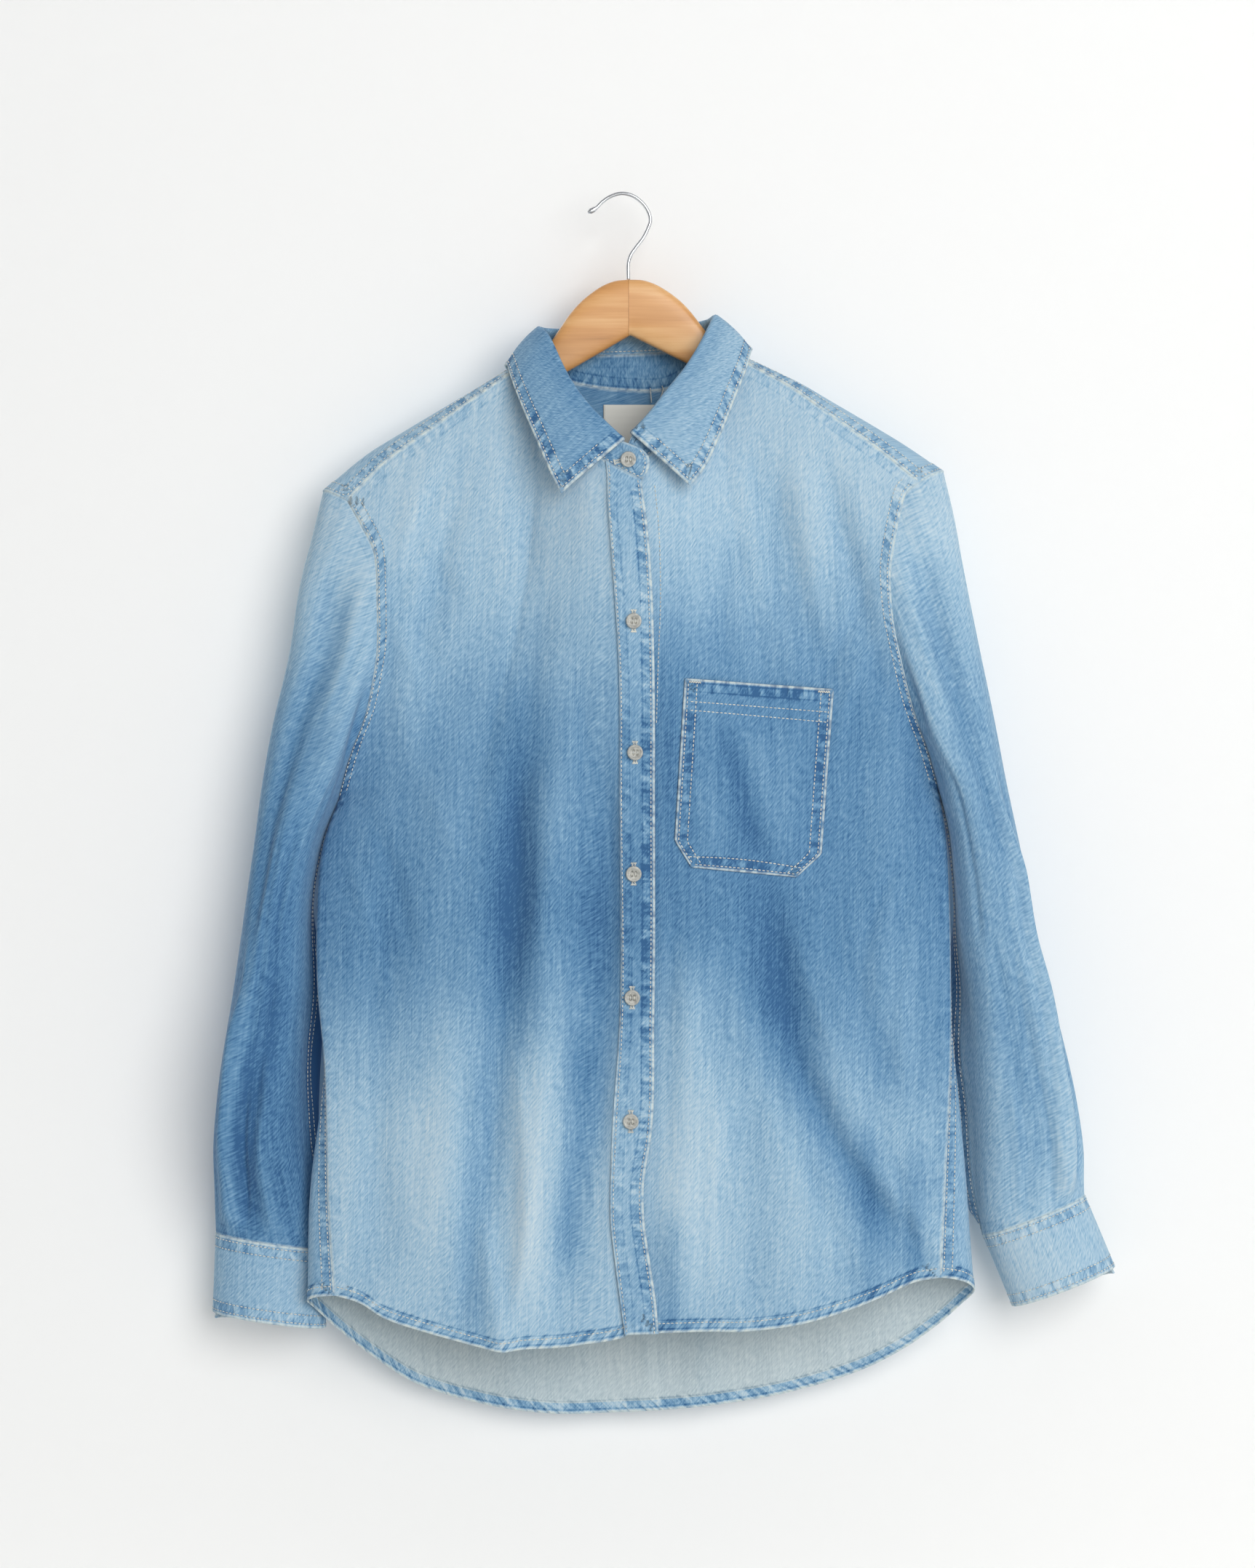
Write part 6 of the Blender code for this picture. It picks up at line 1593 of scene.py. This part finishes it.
paint, tree, shader = new_finish("matt wall paint", "#F4F4F3", Roughness=0.95)
seen = add_node(tree, "NewGeometry").outputs["Backfacing"]
clear = add_node(tree, "BsdfTransparent")
shown = add_node(tree, "MixShader", {0: seen, 1: shader, 2: clear})
feed(tree, tree.nodes["Material Output"], {"Surface": shown})
floor_paint, _, _ = new_finish("pale floor", "#EDEDEB", Roughness=0.8)
wall = flat_piece("wall", [(-ROOM_X, WALL_Y, FLOOR_Z), (ROOM_X, WALL_Y, FLOOR_Z),
                           (ROOM_X, WALL_Y, WALL_TOP), (-ROOM_X, WALL_Y, WALL_TOP)], paint)
wall.visible_shadow = False
flat_piece("floor", [(-ROOM_X, -ROOM_Y, FLOOR_Z), (ROOM_X, -ROOM_Y, FLOOR_Z),
                     (ROOM_X, ROOM_Y, FLOOR_Z), (-ROOM_X, ROOM_Y, FLOOR_Z)], floor_paint)
print("wall", WALL_Y, "mm behind the hook's middle")

# %% Light
AIM = (0.0, 0.0, -0.45)     # metres: the middle of the shirt
# Place in metres, size in metres, power in watts
LAMPS = {"window": ((1.8, -4.3, 0.85), 3.6, 149.0), "behind": ((-0.9, 2.6, 0.9), 2.0, 40.0)}
for name, (place, width, power) in LAMPS.items():
    lamp = bpy.data.lights.new(name, "AREA")
    lamp.shape, lamp.size, lamp.energy = "DISK", width, power
    made = bpy.data.objects.new(name, lamp)
    made.location = place
    made.rotation_euler = Vector(np.subtract(AIM, place)).to_track_quat("-Z", "Y").to_euler()
    bpy.context.scene.collection.objects.link(made)

world = bpy.data.worlds.new("room")
world.use_nodes = True
feed(world.node_tree, world.node_tree.nodes["Background"],
     {"Color": linear("#F2F3F4"), "Strength": 0.41})
bpy.context.scene.world = world
# Colours come out as they are lit, without a film's softer whites.
bpy.context.scene.view_settings.view_transform = "Standard"
print("lamps:", ", ".join(LAMPS))

# %% [markdown]
# ## Which piece stands for which solid
# Every piece hangs still with the one body. Each takes the place of its solids, which are hidden.

# %% Bodies, solids and cuts
# Piece, its finish's slot, width and length of what shows in metres, and its area where known
CLOTHS = [
    ("front_right", "denim", (0.262, 0.725), 0.1496),
    ("front_left", "denim", (0.275, 0.725), 0.1509),
    ("back", "denim", (0.520, 0.665), 0.2973),
    ("yoke", "denim", (0.480, 0.150), 0.0434),
    ("collar_stand", "denim_pale", (0.445, 0.040), 0.0082),
    ("collar", "denim_pale", (0.450, 0.095), 0.0244),
    ("sleeve_right", "denim", (0.400, 0.570), 0.0956),
    ("sleeve_left", "denim", (0.400, 0.570), 0.0966),
    ("cuff_right", "denim_pale", (0.255, 0.058), 0.0121),
    ("cuff_left", "denim_pale", (0.250, 0.058), 0.0120),
    ("slit_band_right", "denim", (0.020, 0.125), None),
    ("slit_band_left", "denim", (0.020, 0.125), None),
    ("front_band", "denim", (0.032, 0.622), 0.0160),
    ("pocket", "denim", (0.112, 0.140), 0.0147),
]
# The solids of the pieces that aren't named like their own
SOLIDS = {"sleeve_right": ["sleeve_right_front", "sleeve_right_back"],
          "sleeve_left": ["sleeve_left_front", "sleeve_left_back"],
          "slit_band_right": ["sleeve_band_right"], "slit_band_left": ["sleeve_band_left"],
          "front_band": ["placket"]}
EXTRA = {"pocket": pocket_tacks, "front_band": band_holes, "collar_stand": stand_hole}


def dress(piece, slot, *nodes):
    """One piece, with the body it moves with and the solids it stands for, which are hidden. Its
    finish's slot is not used.
    """
    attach(piece, "root")
    if nodes:
        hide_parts(*nodes)


dress(hanger, "hanger_wood", "hanger")
dress(hook, "hook_chrome", "hook")
for name, slot, flat, area in CLOTHS:
    dress(pieces[name], slot, *SOLIDS.get(name, [name]))
    sewing = [threads[name]] + ([EXTRA[name]] if name in EXTRA else [])
    for part in sewing:
        dress(part, slot)
dress(pieces["label"], "label_satin", "label")
for loop in loops:
    dress(loop, "label_satin")
for name, (made, wound) in buttons.items():
    dress(made, "button_horn", name)
    dress(wound, "button_horn")
print("pieces of cloth:", len(pieces))

# %% Sizes
triangles = sum(len(p.vertices) - 2 for o in bpy.data.objects if o.type == "MESH"
                and not o.hide_render and o.name not in frame["nodes"]
                for p in o.data.polygons)
print("triangles added:", triangles)
